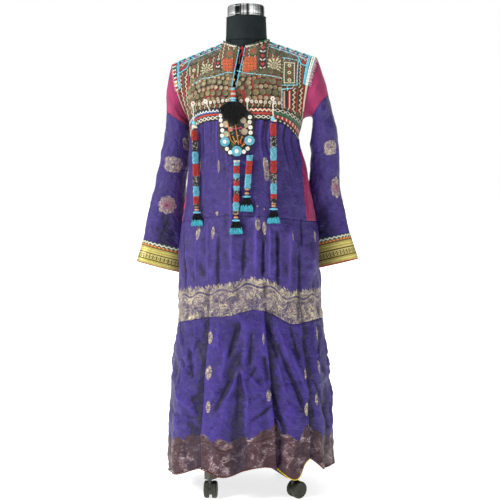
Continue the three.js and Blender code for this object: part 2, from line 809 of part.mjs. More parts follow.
function sleeveWall(side, from, to, rows, thick) {
  const points = (out) => {
    const made = grid(rows, COLUMNS.sleeve, (down, across, r) => {
      const at = mix(from, to, down);
      const angle = across * FULL;
      const along = r === 0 ? SEAM / 2 : r === rows ? -SEAM / 2 : 0;
      const plain = sleevePoint(side, at, angle, out, along);
      if (at >= 1) return plain;
      const fromHole = armholePoint(side, angle, out, r === 0 ? SEAM : 0);
      return fromHole.lerp(plain, smooth(at));
    });
    made.forEach((row) => row.pop());
    return made;
  };
  return wall(points(0), points(-thick), { round: true });
}
for (const side of ["l", "r"]) {
  piece(`sleeve_head_${side}`, sleeveWall(side, 0, SLEEVE_ENDS.seam, 3, CLOTH), "magenta");
  piece(`sleeve_top_${side}`, sleeveWall(side, SLEEVE_ENDS.seam, SLEEVE_ENDS.join, 4, CLOTH), "silk");
  piece(`sleeve_low_${side}`, sleeveWall(side, SLEEVE_ENDS.join, SLEEVE_ENDS.cuff, 5, CLOTH), "silk");
  piece(`cuff_${side}`, sleeveWall(side, SLEEVE_ENDS.cuff, SLEEVE_ENDS.edge, 1, STIFF), "brocade");
}

// A three-sided strand from its root to its tip
function strand(root, tip, thick) {
  const along = tip.clone().sub(root).normalize();
  const side = along.clone().cross(vec(0, 1, 0.2)).normalize();
  const up = side.clone().cross(along).normalize();
  const ring = (middle, r) => [90, 210, 330].map((angle) =>
    middle.clone().addScaledVector(side, r * Math.cos(rad(angle))).addScaledVector(up, r * Math.sin(rad(angle))));
  const skin = new Skin();
  const [a, b] = [ring(root, thick), ring(tip, thick * 0.7)];
  skin.sheet([a, b], true);
  skin.face(a[0], a[1], a[2]);
  skin.face(b[2], b[1], b[0]);
  return skin.geometry();
}

// Where something hangs in front of the dress: the furthest forward that the cloth comes near x and z
function frontOf(x, z, reach) {
  const middle = THREE.MathUtils.radToDeg(Math.asin((x - body.shift(z)) / body.half(z)));
  let ahead = 0;
  for (let step = -8; step <= 8; step += 0.5) {
    const p = clothPoint(middle + step, z, 0.8);
    if (Math.abs(p.x - x) < reach) ahead = Math.min(ahead, p.y);
  }
  return ahead;
}

// The amulet's pad, U-shaped, bent to the body under it
function amuletPad() {
  const rows = 7;
  const columns = 6;
  const low = PAD.straight - PAD.half;
  const points = (out) => grid(rows, columns, (down, across) => {
    const z = mix(PAD.top, low + 2, down);
    const under = Math.max(PAD.straight - z, 0);
    const half = Math.sqrt(PAD.half ** 2 - under ** 2);
    const x = PAD.x + half * mix(-1, 1, across);
    const share = (x - body.shift(z)) / body.half(z);
    const turn = THREE.MathUtils.radToDeg(Math.asin(share));
    return bodyPoint(turn, z, out);
  });
  return wall(points(PAD.out + PAD.thick), points(PAD.out));
}
piece("amulet_pad", amuletPad(), "black");

// A point on the pad's face
function onPad(x, z, out) {
  const turn = THREE.MathUtils.radToDeg(Math.asin((x - body.shift(z)) / body.half(z)));
  return bodyPoint(turn, z, PAD.out + PAD.thick + SEAM + out);
}

ROSETTES.forEach((row, i) => {
  const profile = [
    [0, 0],
    [row.r, 0],
    [row.r, ROSETTE_THICK.edge],
    [row.r * 0.5, ROSETTE_THICK.edge + 0.6],
    [row.r * 0.4, ROSETTE_THICK.button],
    [0, ROSETTE_THICK.button],
  ];
  const disc = turned(profile, 12);
  const out = onPad(row.x, row.z, 1).sub(onPad(row.x, row.z, 0));
  disc.applyQuaternion(new THREE.Quaternion().setFromUnitVectors(vec(0, 0, 1), out.normalize()));
  disc.translate(...onPad(row.x, row.z, ROSETTE_THICK.lift).toArray());
  piece(`rosette_${i + 1}`, disc, "turquoise");
});

// The bead stem above the pad
function amuletStem() {
  const profile = [[0, 0]];
  STEM.radii.forEach((r, i) => {
    const foot = -i * STEM.bead;
    profile.push([r * 0.62, foot], [r, foot - STEM.bead * 0.3], [r, foot - STEM.bead * 0.7]);
  });
  profile.push([0, -STEM.radii.length * STEM.bead]);
  const stem = turned(profile, 8);
  const widest = Math.max(...STEM.radii);
  const foot = STEM.z - STEM.radii.length * STEM.bead;
  const ahead = Math.min(yokeFront(STEM.x, STEM.z), yokeFront(STEM.x, foot));
  stem.translate(STEM.x, ahead + STEM.near - widest - SEAT - COIN_THICK, STEM.z);
  return stem;
}

// How far forward the yoke is at x and z
function yokeFront(x, z) {
  const down = (DRESS_TOP.neckZ - DRESS_TOP.dipFront - z) / (DRESS_TOP.neckZ - DRESS_TOP.dipFront - waistTop(0));
  return patch(DRESS_TOP, lowEdge, "front", x / YOKE_REACH, clamp(down, 0, 1)).y;
}

// The black tuft over the pad's top, its threads fused into a narrow strip
function amuletTuft() {
  const ahead = bodyPoint(0, TUFT.z).y - PAD.out - PAD.thick - TUFT.lift;
  const strip = new THREE.BoxGeometry(2 * TUFT.half, 5, 5);
  strip.translate(TUFT.x, ahead, TUFT.z);
  const threads = Array.from({ length: TUFT.strands }, (_, i) => {
    const share = mix(-1, 1, i / (TUFT.strands - 1));
    const root = vec(TUFT.x + share * (TUFT.half - 2), ahead + 1.2 * Math.cos(4 * i), TUFT.z);
    const long = TUFT.long * (0.62 + 0.38 * (1 - share * share)) * (0.88 + 0.12 * Math.sin(7 * i));
    const tip = vec(TUFT.x + share * TUFT.spread, ahead - 1.5 - 2 * Math.sin(3 * i), TUFT.z - long);
    return strand(root, tip, TUFT.thick);
  });
  return joined(strip, ...threads);
}
piece("amulet_stem", amuletStem(), "turquoise");
piece("amulet_tuft", amuletTuft(), "black");

// The middle of a strand at a height, lying on the front of the skirt
function strandMiddle(row, z) {
  const top = row.cord || row.bead;
  const share = clamp((top - z) / (top - row.tip), 0, 1);
  const x = mix(row.xTop, row.xLow, share);
  return vec(x, frontOf(x, z, STRAND.roll) - SEAT, z);
}

// Radius of a strand at each height, from its stretches
function strandStations(row) {
  const stations = [];
  const add = (z, r) => stations.push({ z, r });
  if (row.cord) {
    add(row.cord, STRAND.cord);
    add(row.bead + 1, STRAND.cord);
    add(mix(row.bead, row.shell, 0.5), STRAND.bead);
    add(row.shell, STRAND.notch * 0.6);
    add(mix(row.shell, row.roll, 0.5), STRAND.shell);
  }
  add(row.roll, STRAND.notch * 0.8);
  const rolls = Math.max(Math.round((row.roll - row.wood) / STRAND.stretch), 2);
  for (let i = 0; i < rolls; i += 1) {
    const at = (share) => mix(row.roll, row.wood, (i + share) / rolls);
    add(at(0.12), STRAND.roll);
    add(at(0.88), STRAND.roll);
    if (i < rolls - 1) add(at(1), STRAND.notch);
  }
  add(row.wood, STRAND.notch * 0.8);
  add(mix(row.wood, row.ring, 0.5), STRAND.wood);
  add(row.ring, STRAND.notch);
  add(mix(row.ring, row.tassel, 0.4), STRAND.ring);
  add(row.tassel + 0.6, STRAND.notch);
  return stations;
}

STRANDS.forEach((row, i) => {
  const rings = strandStations(row).map(({ z, r }) => {
    const middle = strandMiddle(row, z);
    middle.y += row.near - Math.max(r, STRAND.bead) * STRAND.flat;
    return Array.from({ length: STRAND.sides }, (_, k) => {
      const angle = rad(((k + 0.5) * FULL) / STRAND.sides);
      return middle.clone().add(vec(r * Math.cos(angle), r * STRAND.flat * Math.sin(angle), 0));
    });
  });
  piece(`strand_${i + 1}`, closedTube(rings), "red");
  piece(`tassel_${i + 1}`, tassel(row), "black");
});

// A tassel: a head with its threads in two layers
function tassel(row) {
  const top = strandMiddle(row, row.tassel);
  top.y += row.tasselNear - STRAND.ring * STRAND.flat;
  top.z = row.tassel - SEAM;
  const head = new THREE.CylinderGeometry(TASSEL.root, TASSEL.head, 9, 8);
  head.rotateX(Math.PI / 2);
  head.scale(1, STRAND.flat, 1);
  head.translate(top.x, top.y, top.z - 4.5);
  const layer = TASSEL.strands / 2;
  const threads = Array.from({ length: TASSEL.strands }, (_, i) => {
    const share = mix(-1, 1, (i % layer) / (layer - 1));
    const depth = i < layer ? 1 : -1;
    const root = vec(top.x + share * (TASSEL.head - 1.6), top.y + depth * 1.4, top.z - 7);
    const foot = row.tip + 3 * Math.sin(5 * i) ** 2;
    const lean = depth > 0 ? 1 : -TASSEL.depth - 1;
    const tip = vec(top.x + share * TASSEL.spread + depth, top.y + lean, foot);
    return strand(root, tip, TASSEL.thick);
  });
  return joined(head, ...threads);
}

// The dress form: the shoulders follow the dress's own patch, inside it
const formTop = {
  ...DRESS_TOP,
  neck: FORM_TOP.neck,
  neckFront: FORM_TOP.neckFront,
  neckBack: FORM_TOP.neckBack,
  bulge: FORM_TOP.bulge,
  neckZ: DRESS_TOP.neckZ - FORM_TOP.neckInset,
  tips: { l: shoulderUnder("l"), r: shoulderUnder("r") },
};

function shoulderUnder(side) {
  const way = side === "l" ? 1 : -1;
  const tip = DRESS_TOP.tips[side];
  const share = (FORM_TOP.tip - DRESS_TOP.neck) / (Math.abs(tip.x) - DRESS_TOP.neck);
  return { x: way * FORM_TOP.tip, z: mix(DRESS_TOP.neckZ, tip.z, share) - FORM_TOP.inset };
}

function formPoint(turn, z) {
  const ahead = Math.cos(rad(turn));
  const deep = ahead > 0 ? formSize.front(z) : formSize.back(z);
  return vec(formSize.half(z) * Math.sin(rad(turn)), -deep * ahead, z);
}

function formLow(face, across) {
  const turn = face === "front" ? 90 * across : 180 - 90 * across;
  return formPoint(turn, FORM[FORM.length - 1].z);
}

function formTorso() {
  const shares = acrossShares(formTop.neckShare, COLUMNS.neck, COLUMNS.shoulder - 2);
  const row = (face, down) => shares.map((across) => {
    const p = patch(formTop, formLow, face, across, down);
    p.y -= (face === "front" ? -1 : 1) * (SEAM / 2);
    return p;
  });
  const downs = [0, 0.06, 0.18, 0.36, 0.58, 0.8, 1];
  const rings = downs.map((down) => [...row("front", down), ...row("back", down).reverse()]);
  for (const z of FORM.map((entry) => entry.z).reverse().slice(1)) {
    rings.push([
      ...shares.map((across) => formPoint(90 * across, z)),
      ...shares.map((across) => formPoint(180 - 90 * across, z)).reverse(),
    ]);
  }
  const skin = new Skin();
  skin.sheet(rings, true);
  const last = rings[rings.length - 1];
  skin.fan(last, vec(0, 0, last[0].z), true);
  const neckAt = shares.filter((across) => Math.abs(across) <= formTop.neckShare + 1e-9);
  const loop = (face) => neckAt.map((across) => {
    const p = patch(formTop, formLow, face, across, 0);
    p.y -= (face === "front" ? -1 : 1) * (SEAM / 2);
    return p;
  });
  const neckLoop = [...loop("front"), ...loop("back").reverse().slice(1, -1)];
  const topLoop = (r, z) => neckLoop.map((p) => {
    const angle = Math.atan2(p.y, p.x);
    return vec(r * Math.cos(angle), r * Math.sin(angle), z);
  });
  const neckRings = [topLoop(NECK.r, NECK.top), topLoop(NECK.r + 1.5, NECK.top - 40), neckLoop];
  skin.sheet(neckRings, true);
  skin.fan(neckRings[0], vec(0, 0, NECK.top), false);
  return skin.geometry();
}
piece("form_torso", formTorso(), "form");

function neckCap() {
  const profile = [
    [0, NECK.top + SEAM],
    [NECK.cap, NECK.top + SEAM],
    [NECK.cap, NECK.capTop - 6],
    [NECK.cap - 2, NECK.capTop - 1.5],
    [NECK.cap - 7, NECK.capTop],
    [0, NECK.capTop],
  ];
  return turned(profile, 24);
}
piece("neck_cap", neckCap(), "chrome");

// The stand: pole, hub and four legs, each with a boss over its caster
function column(r, low, high, sides) {
  const made = new THREE.CylinderGeometry(r, r, high - low, sides);
  return made.rotateX(Math.PI / 2).translate(0, 0, (low + high) / 2);
}
piece("pole", column(POLE.r, HUB.top + SEAM, FORM[0].z - SEAM, 20), "steel");
piece("hub", column(HUB.r, HUB.low, HUB.top, 24), "steel");

function leg() {
  const start = HUB.r + SEAM;
  const high = HUB.top - LEG.rise;
  const bossTop = high - LEG.drop;
  const side = [
    [start, high],
    [CASTER.at - LEG.boss, bossTop],
    [LEG.end, bossTop],
    [LEG.end, CASTER.top + SEAM],
    [CASTER.at - LEG.boss, CASTER.top + SEAM],
    [start, HUB.low + LEG.rise / 2],
  ];
  const shape = new THREE.Shape(side.map(([x, y]) => new THREE.Vector2(x, y)));
  const made = new THREE.ExtrudeGeometry(shape, { depth: LEG.wide, bevelEnabled: false });
  made.translate(0, 0, -LEG.wide / 2);
  return made.rotateX(Math.PI / 2);
}

// A caster's hood: a plate between the wheels with a hole for the axle, and a stem on the swivel's axis
function hood() {
  const outline = new THREE.Shape();
  outline.absarc(0, 0, CASTER.hood, 0, Math.PI, false);
  outline.lineTo(-CASTER.hood, -CASTER.skirt);
  outline.lineTo(CASTER.hood, -CASTER.skirt);
  const hole = new THREE.Path();
  hole.absarc(0, 0, CASTER.axle + CASTER.gap, 0, 2 * Math.PI, true);
  outline.holes.push(hole);
  const plate = new THREE.ExtrudeGeometry(outline, { depth: CASTER.plate, bevelEnabled: false, curveSegments: 8 });
  plate.translate(0, 0, -CASTER.plate / 2);
  plate.rotateX(Math.PI / 2);
  const stem = column(CASTER.stem, CASTER.axle * 2, CASTER.top - CASTER.wheel, 12);
  stem.translate(-CASTER.trail, 0, 0);
  return joined(plate, stem);
}

// Two wheels on one axle, each standing on a flat of its tread
function wheels() {
  const sides = 16;
  const inner = CASTER.plate / 2 + CASTER.gap;
  const outer = inner + CASTER.tread;
  const rim = CASTER.wheel / Math.cos(Math.PI / sides);
  const profile = [
    [0, -outer],
    [rim - 3, -outer],
    [rim, -outer + 3],
    [rim, -inner],
    [CASTER.axle, -inner],
    [CASTER.axle, inner],
    [rim, inner],
    [rim, outer - 3],
    [rim - 3, outer],
    [0, outer],
  ];
  return turned(profile, sides).rotateZ(Math.PI / sides).rotateX(Math.PI / 2);
}

for (const { name, leg: way, heading } of CASTERS) {
  const arm = new THREE.Group();
  arm.rotation.z = rad(way + BASE_TURN);
  dress.add(arm);
  piece(`leg_${name}`, leg(), "steel", arm);
  const swivel = new THREE.Group();
  swivel.position.x = CASTER.at;
  swivel.rotation.z = rad(heading - way - BASE_TURN);
  arm.add(swivel);
  const wheelSpot = new THREE.Group();
  wheelSpot.position.set(CASTER.trail, 0, CASTER.wheel);
  swivel.add(wheelSpot);
  piece(`caster_${name}`, hood(), "black", wheelSpot);
  piece(`wheels_${name}`, wheels(), "wheel", wheelSpot);
}

export default dress;
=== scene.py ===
"""Afghan dress of brocade, plain and embroidered cloth on a limbless dress form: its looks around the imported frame.

Shapes are worked out in millimetres in the part's own frame and made in metres.
"""

import json
import math

import bpy
import numpy as np
from bpy.props import FloatProperty, FloatVectorProperty, IntProperty, PointerProperty
from bpy.types import Operator, Panel, PropertyGroup
from mathutils import Matrix, Vector

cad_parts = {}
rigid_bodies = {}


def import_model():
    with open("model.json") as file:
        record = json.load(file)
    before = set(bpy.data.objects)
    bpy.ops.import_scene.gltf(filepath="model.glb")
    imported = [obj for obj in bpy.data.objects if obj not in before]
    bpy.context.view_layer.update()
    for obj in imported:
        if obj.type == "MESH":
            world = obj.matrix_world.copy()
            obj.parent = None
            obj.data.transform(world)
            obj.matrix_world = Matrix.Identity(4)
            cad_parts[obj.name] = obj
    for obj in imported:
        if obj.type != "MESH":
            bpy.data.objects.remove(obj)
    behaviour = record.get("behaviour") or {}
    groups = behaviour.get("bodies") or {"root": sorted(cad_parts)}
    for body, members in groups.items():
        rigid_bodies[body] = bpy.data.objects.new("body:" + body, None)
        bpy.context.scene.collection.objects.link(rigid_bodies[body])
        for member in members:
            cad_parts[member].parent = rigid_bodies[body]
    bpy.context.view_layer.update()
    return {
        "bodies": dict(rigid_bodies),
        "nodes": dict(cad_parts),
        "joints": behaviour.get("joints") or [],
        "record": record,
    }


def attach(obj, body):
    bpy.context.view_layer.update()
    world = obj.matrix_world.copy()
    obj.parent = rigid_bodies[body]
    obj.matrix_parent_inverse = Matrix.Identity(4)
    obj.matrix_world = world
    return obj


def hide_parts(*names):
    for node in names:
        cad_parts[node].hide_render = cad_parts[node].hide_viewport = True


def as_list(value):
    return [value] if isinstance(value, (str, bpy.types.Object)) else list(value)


bl_info = {
    "name": "Afghan dress on a dress form",
    "version": (1, 0, 0),
    "blender": (4, 5, 0),
    "location": "3D View > Sidebar > Dress",
    "description": "Builds the cloth, trims and stand of an embroidered dress around its frame",
    "category": "Object",
}

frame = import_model()
ROOT = "dress_on_form"
CORNERS = ("front_r", "front_l", "back_l", "back_r")

MM = 0.001
ORIGIN = np.array([15.5, 0.0, 0.0])
FULL = 360.0
SEAM = 0.3
EASE = 0.2
RNG_SEED = 4603
# Finishes that several groups of pieces use, made with the stage
SHARED = {}


# Tables of the dress, the same as the part's


def table(columns, *rows):
    """Named columns, each an array with one value for each row."""
    return {name: np.array([row[i] for row in rows], dtype=float) for i, name in enumerate(columns.split())}


BODY = table(
    "z half front back shift",
    (50, 253, 193, 186, -8),
    (173, 252, 189, 182, -7),
    (266, 247, 184, 178, -5),
    (389, 236, 175, 171, -2),
    (496, 222, 164, 163, 0),
    (572, 217, 158, 157, 0),
    (654, 214, 152, 151, 0),
    (754, 210, 146, 146, 0),
    (814, 201, 142, 141, 0),
    (904, 187, 137, 128, 0),
    (978, 173, 132, 114, -2),
    (1050, 162, 128, 102, -9),
    (1108, 169, 127, 99, -5),
    (1160, 171, 124, 98, -5),
)
LEVELS = table(
    "turn gold goldLow border hem",
    (-90, 606, 502, 154, 56),
    (-50, 622, 522, 178, 68),
    (-25, 634, 540, 203, 100),
    (-8, 645, 546, 195, 84),
    (10, 660, 564, 210, 114),
    (24, 650, 552, 240, 112),
    (40, 619, 521, 192, 74),
    (52, 619, 521, 228, 126),
    (68, 619, 525, 184, 86),
    (90, 616, 522, 178, 80),
    (130, 614, 518, 182, 78),
    (180, 618, 522, 180, 76),
    (230, 612, 512, 172, 66),
)
FOLDS = table(
    "hem top start wide deep lean",
    (-84, -78, 700, 8, -9, 0),
    (-66, -62, 560, 8, -8, 2),
    (-50, -48, 1000, 15, 8, 0),
    (-37, -38, 420, 6, -6, 0),
    (-14, -18, 900, 9, 10, 0),
    (1, 1, 400, 6, -12, 0),
    (12, 8, 700, 8, 8, 2),
    (38, 34, 800, 10, 11, 0),
    (63, 62, 900, 8, 9, 0),
    (76, 74, 520, 6, -9, 0),
    (98, 95, 620, 9, 8, 0),
    (112, 114, 700, 7, -16, -3),
    (128, 128, 1000, 12, 9, 0),
    (143, 141, 560, 6, -12, 2),
    (163, 166, 660, 8, -20, 3),
    (178, 176, 1000, 11, 9, 0),
    (196, 193, 640, 7, -18, -3),
    (214, 216, 900, 12, 9, 0),
    (229, 226, 600, 7, -15, 2),
    (247, 250, 720, 8, -13, 0),
    (260, 259, 900, 9, 7, 0),
)
# Edges where one fold lies over the next: turn at the hem and at the top, where it begins, the side
# that lies under it, the depth of the step and how far it takes to come up again
LAPS = table(
    "hem top start side deep ease",
    (-25, -24.5, 690, -1, 15, 9),
    (25, 17.5, 700, 1, 15, 10),
    (52, 50, 690, 1, 14, 8),
    (110, 113, 640, 1, 9, 8),
    (162, 165, 600, -1, 11, 9),
    (198, 195, 620, 1, 11, 9),
    (246, 249, 640, -1, 9, 8),
)
LAP = {"sharp": 0.45, "growth": 0.45, "lip": 3, "lip_wide": 3.5, "lean": 1.1, "lean_wide": 1.6}
GATHERS = {"count": 30, "deep": 3.4, "fade": 210}
FOLDS_FOOT = 60
# Heights of the waistband's edges and of the hip's seam in front, and how far each rises or falls at the side
WAIST = {"top": 1142, "top_fall": 34, "low": 1106, "low_fall": 56}
HIP = {"z": 833, "fall": 22}
GUSSET = {"top": 1052, "low": 812, "narrow": 1.2, "wide": 22}

SLEEVES = {
    "l": table(
        "x y z half deep tilt yaw",
        (186.2, 0, 1199, 93.6, 50, 76.6, 0),
        (203, 6, 1175, 62, 57, 66, 0),
        (217.8, 8, 1146.5, 40, 58, 54, 0),
        (223, 12, 1103, 39, 54, 38, 4),
        (226, 22, 1048, 42, 50, 18, 10),
        (226, 40, 975, 45, 45, 8, 16),
        (224, 55, 895, 49, 41, 7, 20),
        (232, 72, 820, 58, 37, 9, 24),
        (238, 84, 757, 68, 33, 13, 25),
        (256, 88, 678, 75, 34, 14, 25),
    ),
    "r": table(
        "x y z half deep tilt yaw",
        (201.2, 0, 1196, 92, 50, 73.1, 0),
        (213, 6, 1161, 58, 57, 58, 0),
        (211, 10, 1121.5, 42.4, 58, 34, 0),
        (217, 16, 1072, 41, 53, 22, 4),
        (227, 26, 1011, 44, 48, 11, 8),
        (246, 38, 930, 47, 44, 8, 10),
        (257, 42, 860, 54, 41, 9, 12),
        (268, 46, 797, 61, 37, 11, 12),
        (273, 48, 737, 69, 33, 15, 14),
        (288, 50, 669, 76, 34, 15.5, 14),
    ),
}
SLEEVE_FOLDS = {
    "l": table(
        "at angle long round deep",
        (3.1, 80, 0.35, 60, -5),
        (3.8, 40, 0.3, 50, 4),
        (4.6, 110, 0.4, 55, -5),
        (5.6, 60, 0.5, 45, 4),
        (6.6, 100, 0.45, 50, -4),
        (5.2, 260, 0.8, 50, -4),
    ),
    "r": table(
        "at angle long round deep",
        (3.2, 90, 0.35, 55, -5),
        (4.0, 50, 0.3, 50, 4),
        (4.8, 100, 0.4, 60, -5),
        (5.9, 50, 0.5, 50, 4),
        (6.9, 110, 0.4, 50, -4),
        (5.4, 270, 0.8, 50, -4),
    ),
}
TOP = {
    "neck": 67,
    "front": 66,
    "back": 62,
    "neckZ": 1342,
    "dipFront": 22,
    "dipBack": 5,
    "tips": {"l": (208, 1290), "r": (-228, 1284)},
    "bulge": 50,
    "share": 0.36,
}
SLIT = {"deep": 0.69, "wide": 7, "narrow": 5.2, "lean": -14}


# Curves and surfaces, worked on whole arrays


def smooth(t):
    t = np.clip(t, 0, 1)
    return t * t * (3 - 2 * t)


def mix(a, b, t):
    return a + (b - a) * t


def sin(degrees):
    return np.sin(np.radians(degrees))


def cos(degrees):
    return np.cos(np.radians(degrees))


def curve(xs, ys):
    """A smooth curve through points, read at an array of places."""
    count = len(xs)
    before = np.maximum(np.arange(count) - 1, 0)
    after = np.minimum(np.arange(count) + 1, count - 1)
    slopes = (ys[after] - ys[before]) / (xs[after] - xs[before])

    def read(place):
        place = np.asarray(place, dtype=float)
        i = np.clip(np.searchsorted(xs, place, side="left") - 1, 0, count - 2)
        step = xs[i + 1] - xs[i]
        t = np.clip((place - xs[i]) / step, 0, 1)
        rise = ys[i] * (1 + 2 * t) * (1 - t) ** 2 + ys[i + 1] * t * t * (3 - 2 * t)
        return rise + step * (slopes[i] * t * (1 - t) ** 2 - slopes[i + 1] * t * t * (1 - t))

    return read


def round_curve(name):
    turns = LEVELS["turn"]
    xs = np.concatenate([turns - FULL, turns, turns + FULL])
    return curve(xs, np.tile(LEVELS[name], 3))


body = {name: curve(BODY["z"], BODY[name]) for name in ("half", "front", "back", "shift")}
level = {name: round_curve(name) for name in ("gold", "goldLow", "border", "hem")}


def waist_top(turn):
    return WAIST["top"] - WAIST["top_fall"] * sin(turn) ** 6


def waist_low(turn):
    return WAIST["low"] - WAIST["low_fall"] * np.abs(sin(turn)) ** 5


def hip_seam(turn):
    return HIP["z"] - HIP["fall"] * sin(turn) ** 2


def gusset_half(z):
    share = np.clip((GUSSET["top"] - z) / (GUSSET["top"] - GUSSET["low"]), 0, 1)
    return mix(GUSSET["narrow"], GUSSET["wide"], share)


def away_from(turn, place):
    return np.mod(turn - place + 180, FULL) - 180


def folds_at(turn, z):
    """Relief of the folds and gathers, and how far a fold leans round there."""
    out = np.zeros(np.broadcast(turn, z).shape)
    lean = np.zeros_like(out)

    def place(hem, top, start):
        grown = smooth((start - z) / (start - FOLDS_FOOT))
        return grown, away_from(turn, mix(top, hem, grown))

    for hem, top, start, wide, deep, side in zip(*FOLDS.values()):
        grown, away = place(hem, top, start)
        out += deep * grown * np.exp(-((away / wide) ** 2))
        lean += side * grown * np.exp(-((away / wide / 1.4) ** 2))
    for hem, top, start, side, deep, ease in zip(*LAPS.values()):
        grown, away = place(hem, top, start)
        away = away * side
        under = 0.5 + 0.5 * np.tanh(away / LAP["sharp"])
        kept = grown ** LAP["growth"]
        lip = LAP["lip"] * (1 - under) * np.exp(-((away / LAP["lip_wide"]) ** 2))
        out += kept * (-deep * under * np.exp(-np.maximum(away, 0) / ease) + lip)
        lean += side * kept * LAP["lean"] * np.exp(-((away / LAP["lean_wide"]) ** 2))
    wave = np.cos(np.radians(GATHERS["count"] * turn) + 1.1 * sin(3 * turn) + 0.7 * sin(7 * turn))
    kept = 1 - smooth((waist_low(turn) - z) / GATHERS["fade"])
    return out + GATHERS["deep"] * kept * (0.5 + 0.5 * wave), lean


def body_point(turn, z, out=0.0):
    across, ahead = sin(turn), cos(turn)
    half = body["half"](z)
    deep = np.where(ahead > 0, body["front"](z), body["back"](z))
    nx, ny = across / half, -ahead / deep
    size = np.hypot(nx, ny)
    x = body["shift"](z) + half * across + out * nx / size
    y = -deep * ahead + out * ny / size
    return np.stack(np.broadcast_arrays(x, y, np.asarray(z, dtype=float)), axis=-1)


def top_edge(face, across):
    """The yoke's upper edge: round the neck, then along the shoulder to its tip."""
    tip_x, tip_z = (np.where(across > 0, *pair) for pair in zip(TOP["tips"]["l"], TOP["tips"]["r"]))
    share = np.abs(across) / TOP["share"]
    deep = -TOP["front"] if face == "front" else TOP["back"]
    dip = TOP["dipFront"] if face == "front" else TOP["dipBack"]
    angle = np.clip(90 * share, 0, 90)
    side = np.sign(across)
    x = side * TOP["neck"] * sin(angle)
    y = deep * cos(angle)
    z = TOP["neckZ"] - dip * cos(angle) ** 2
    out = np.clip((np.abs(across) - TOP["share"]) / (1 - TOP["share"]), 0, 1)
    beyond = share > 1
    x = np.where(beyond, mix(side * TOP["neck"], tip_x, out), x)
    y = np.where(beyond, 0, y)
    z = np.where(beyond, mix(TOP["neckZ"], tip_z, out), z)
    return np.stack([x, y, z], axis=-1)


def yoke_turn(face, across):
    return 90 * across if face == "front" else 180 - 90 * across


def yoke_low(face, across):
    turn = yoke_turn(face, across)
    return body_point(turn, waist_top(turn) + SEAM + EASE)


def patch(face, across, down):
    """A point on the yoke's cloth: across from -1 to 1 and down from 0 at its top edge to 1."""
    across, down = np.broadcast_arrays(np.asarray(across, float), np.asarray(down, float))
    high, low = top_edge(face, across), yoke_low(face, across)
    way = -1 if face == "front" else 1
    swell = TOP["bulge"] * np.abs(across) ** 1.2 * np.abs(np.sin(np.pi * np.clip(down, 0, 1))) ** 0.8
    return np.stack(
        [
            mix(high[..., 0], low[..., 0], down),
            high[..., 1] + (low[..., 1] - high[..., 1]) * sin(90 * down) + way * (swell + SEAM / 2),
            mix(high[..., 2], low[..., 2], down),
        ],
        axis=-1,
    )


def unit(v):
    return v / np.maximum(np.linalg.norm(v, axis=-1, keepdims=True), 1e-9)


def on_yoke(face, across, down, out=0.0):
    """A point on the yoke moved out along its normal."""
    step = 0.004
    a = np.clip(across, step - 1, 1 - step)
    d = np.clip(down, step, 1 - step)
    right = patch(face, a + step, d) - patch(face, a - step, d)
    fall = patch(face, a, d + step) - patch(face, a, d - step)
    normal = unit(np.cross(fall, right))
    if face == "back":
        normal = -normal
    return patch(face, across, down) + normal * np.asarray(out)[..., None]


def yoke_at(face, x, z):
    """Places across and down the yoke whose points lie at x and z."""
    x, z = np.broadcast_arrays(np.asarray(x, float), np.asarray(z, float))
    across, down = np.clip(x / 230, -0.99, 0.99), np.clip((1330 - z) / 190, 0.01, 0.99)
    for _ in range(24):
        p = patch(face, across, down)
        px = (patch(face, across + 1e-3, down) - p) * 1e3
        pd = (patch(face, across, down + 1e-3) - p) * 1e3
        ex, ez = x - p[..., 0], z - p[..., 2]
        size = px[..., 0] * pd[..., 2] - px[..., 2] * pd[..., 0]
        size = np.where(np.abs(size) < 1e-6, 1e-6, size)
        da = (ex * pd[..., 2] - ez * pd[..., 0]) / size
        dd = (px[..., 0] * ez - px[..., 2] * ex) / size
        across = np.clip(across + np.clip(da, -0.2, 0.2), -1, 1)
        down = np.clip(down + np.clip(dd, -0.2, 0.2), 0, 1)
    return across, down


def sleeve_curves(side):
    rows = SLEEVES[side]
    numbers = np.arange(len(rows["x"]), dtype=float)
    return {name: curve(numbers, rows[name]) for name in rows}


sleeve_read = {side: sleeve_curves(side) for side in SLEEVES}


def sleeve_point(side, at, angle, out=0.0):
    way = 1 if side == "l" else -1
    ring = {name: read(at) for name, read in sleeve_read[side].items()}
    zero = np.zeros(np.broadcast(at, angle).shape)
    tilt, yaw = ring["tilt"] + zero, ring["yaw"] + zero
    wide = np.stack([way * cos(tilt) * cos(yaw), -cos(tilt) * sin(yaw), sin(tilt)], axis=-1)
    deep = np.stack([-way * sin(yaw), -cos(yaw), zero], axis=-1)
    relief = out + zero
    for at_fold, angle_fold, long, spread, depth in zip(*SLEEVE_FOLDS[side].values()):
        off = away_from(angle, angle_fold)
        relief = relief + depth * np.exp(-(((at - at_fold) / long) ** 2) - (off / spread) ** 2)
    middle = np.stack([way * ring["x"] + zero, ring["y"] + zero, ring["z"] + zero], axis=-1)
    across = ((ring["half"] + relief) * cos(angle))[..., None]
    ahead = ((ring["deep"] + relief) * sin(angle))[..., None]
    plain = middle + wide * across + deep * ahead
    at = np.asarray(at)[..., None]
    return np.where(at >= 1, plain, mix(armhole_point(side, angle + zero, out), plain, smooth(at)))


def armhole_point(side, angle, out=0.0):
    across = 1.0 if side == "l" else -1.0
    down = (1 - cos(angle)) / 2
    front = sin(angle) >= 0
    p = np.where(front[..., None], *(patch(face, across, down) for face in ("front", "back")))
    foot = yoke_low("front", np.asarray(across))
    tip = TOP["tips"][side]
    middle = np.array([(tip[0] + foot[0]) / 2, 0, (tip[1] + foot[2]) / 2])
    chord = unit(np.array([tip[0] - foot[0], 0, tip[1] - foot[2]]))
    axis = np.array([across * chord[2], 0, -across * chord[0]])
    return p + unit(p - middle) * np.asarray(out)[..., None] + axis * SEAM


# Shader maths: a socket with arithmetic, and a material that adds nodes


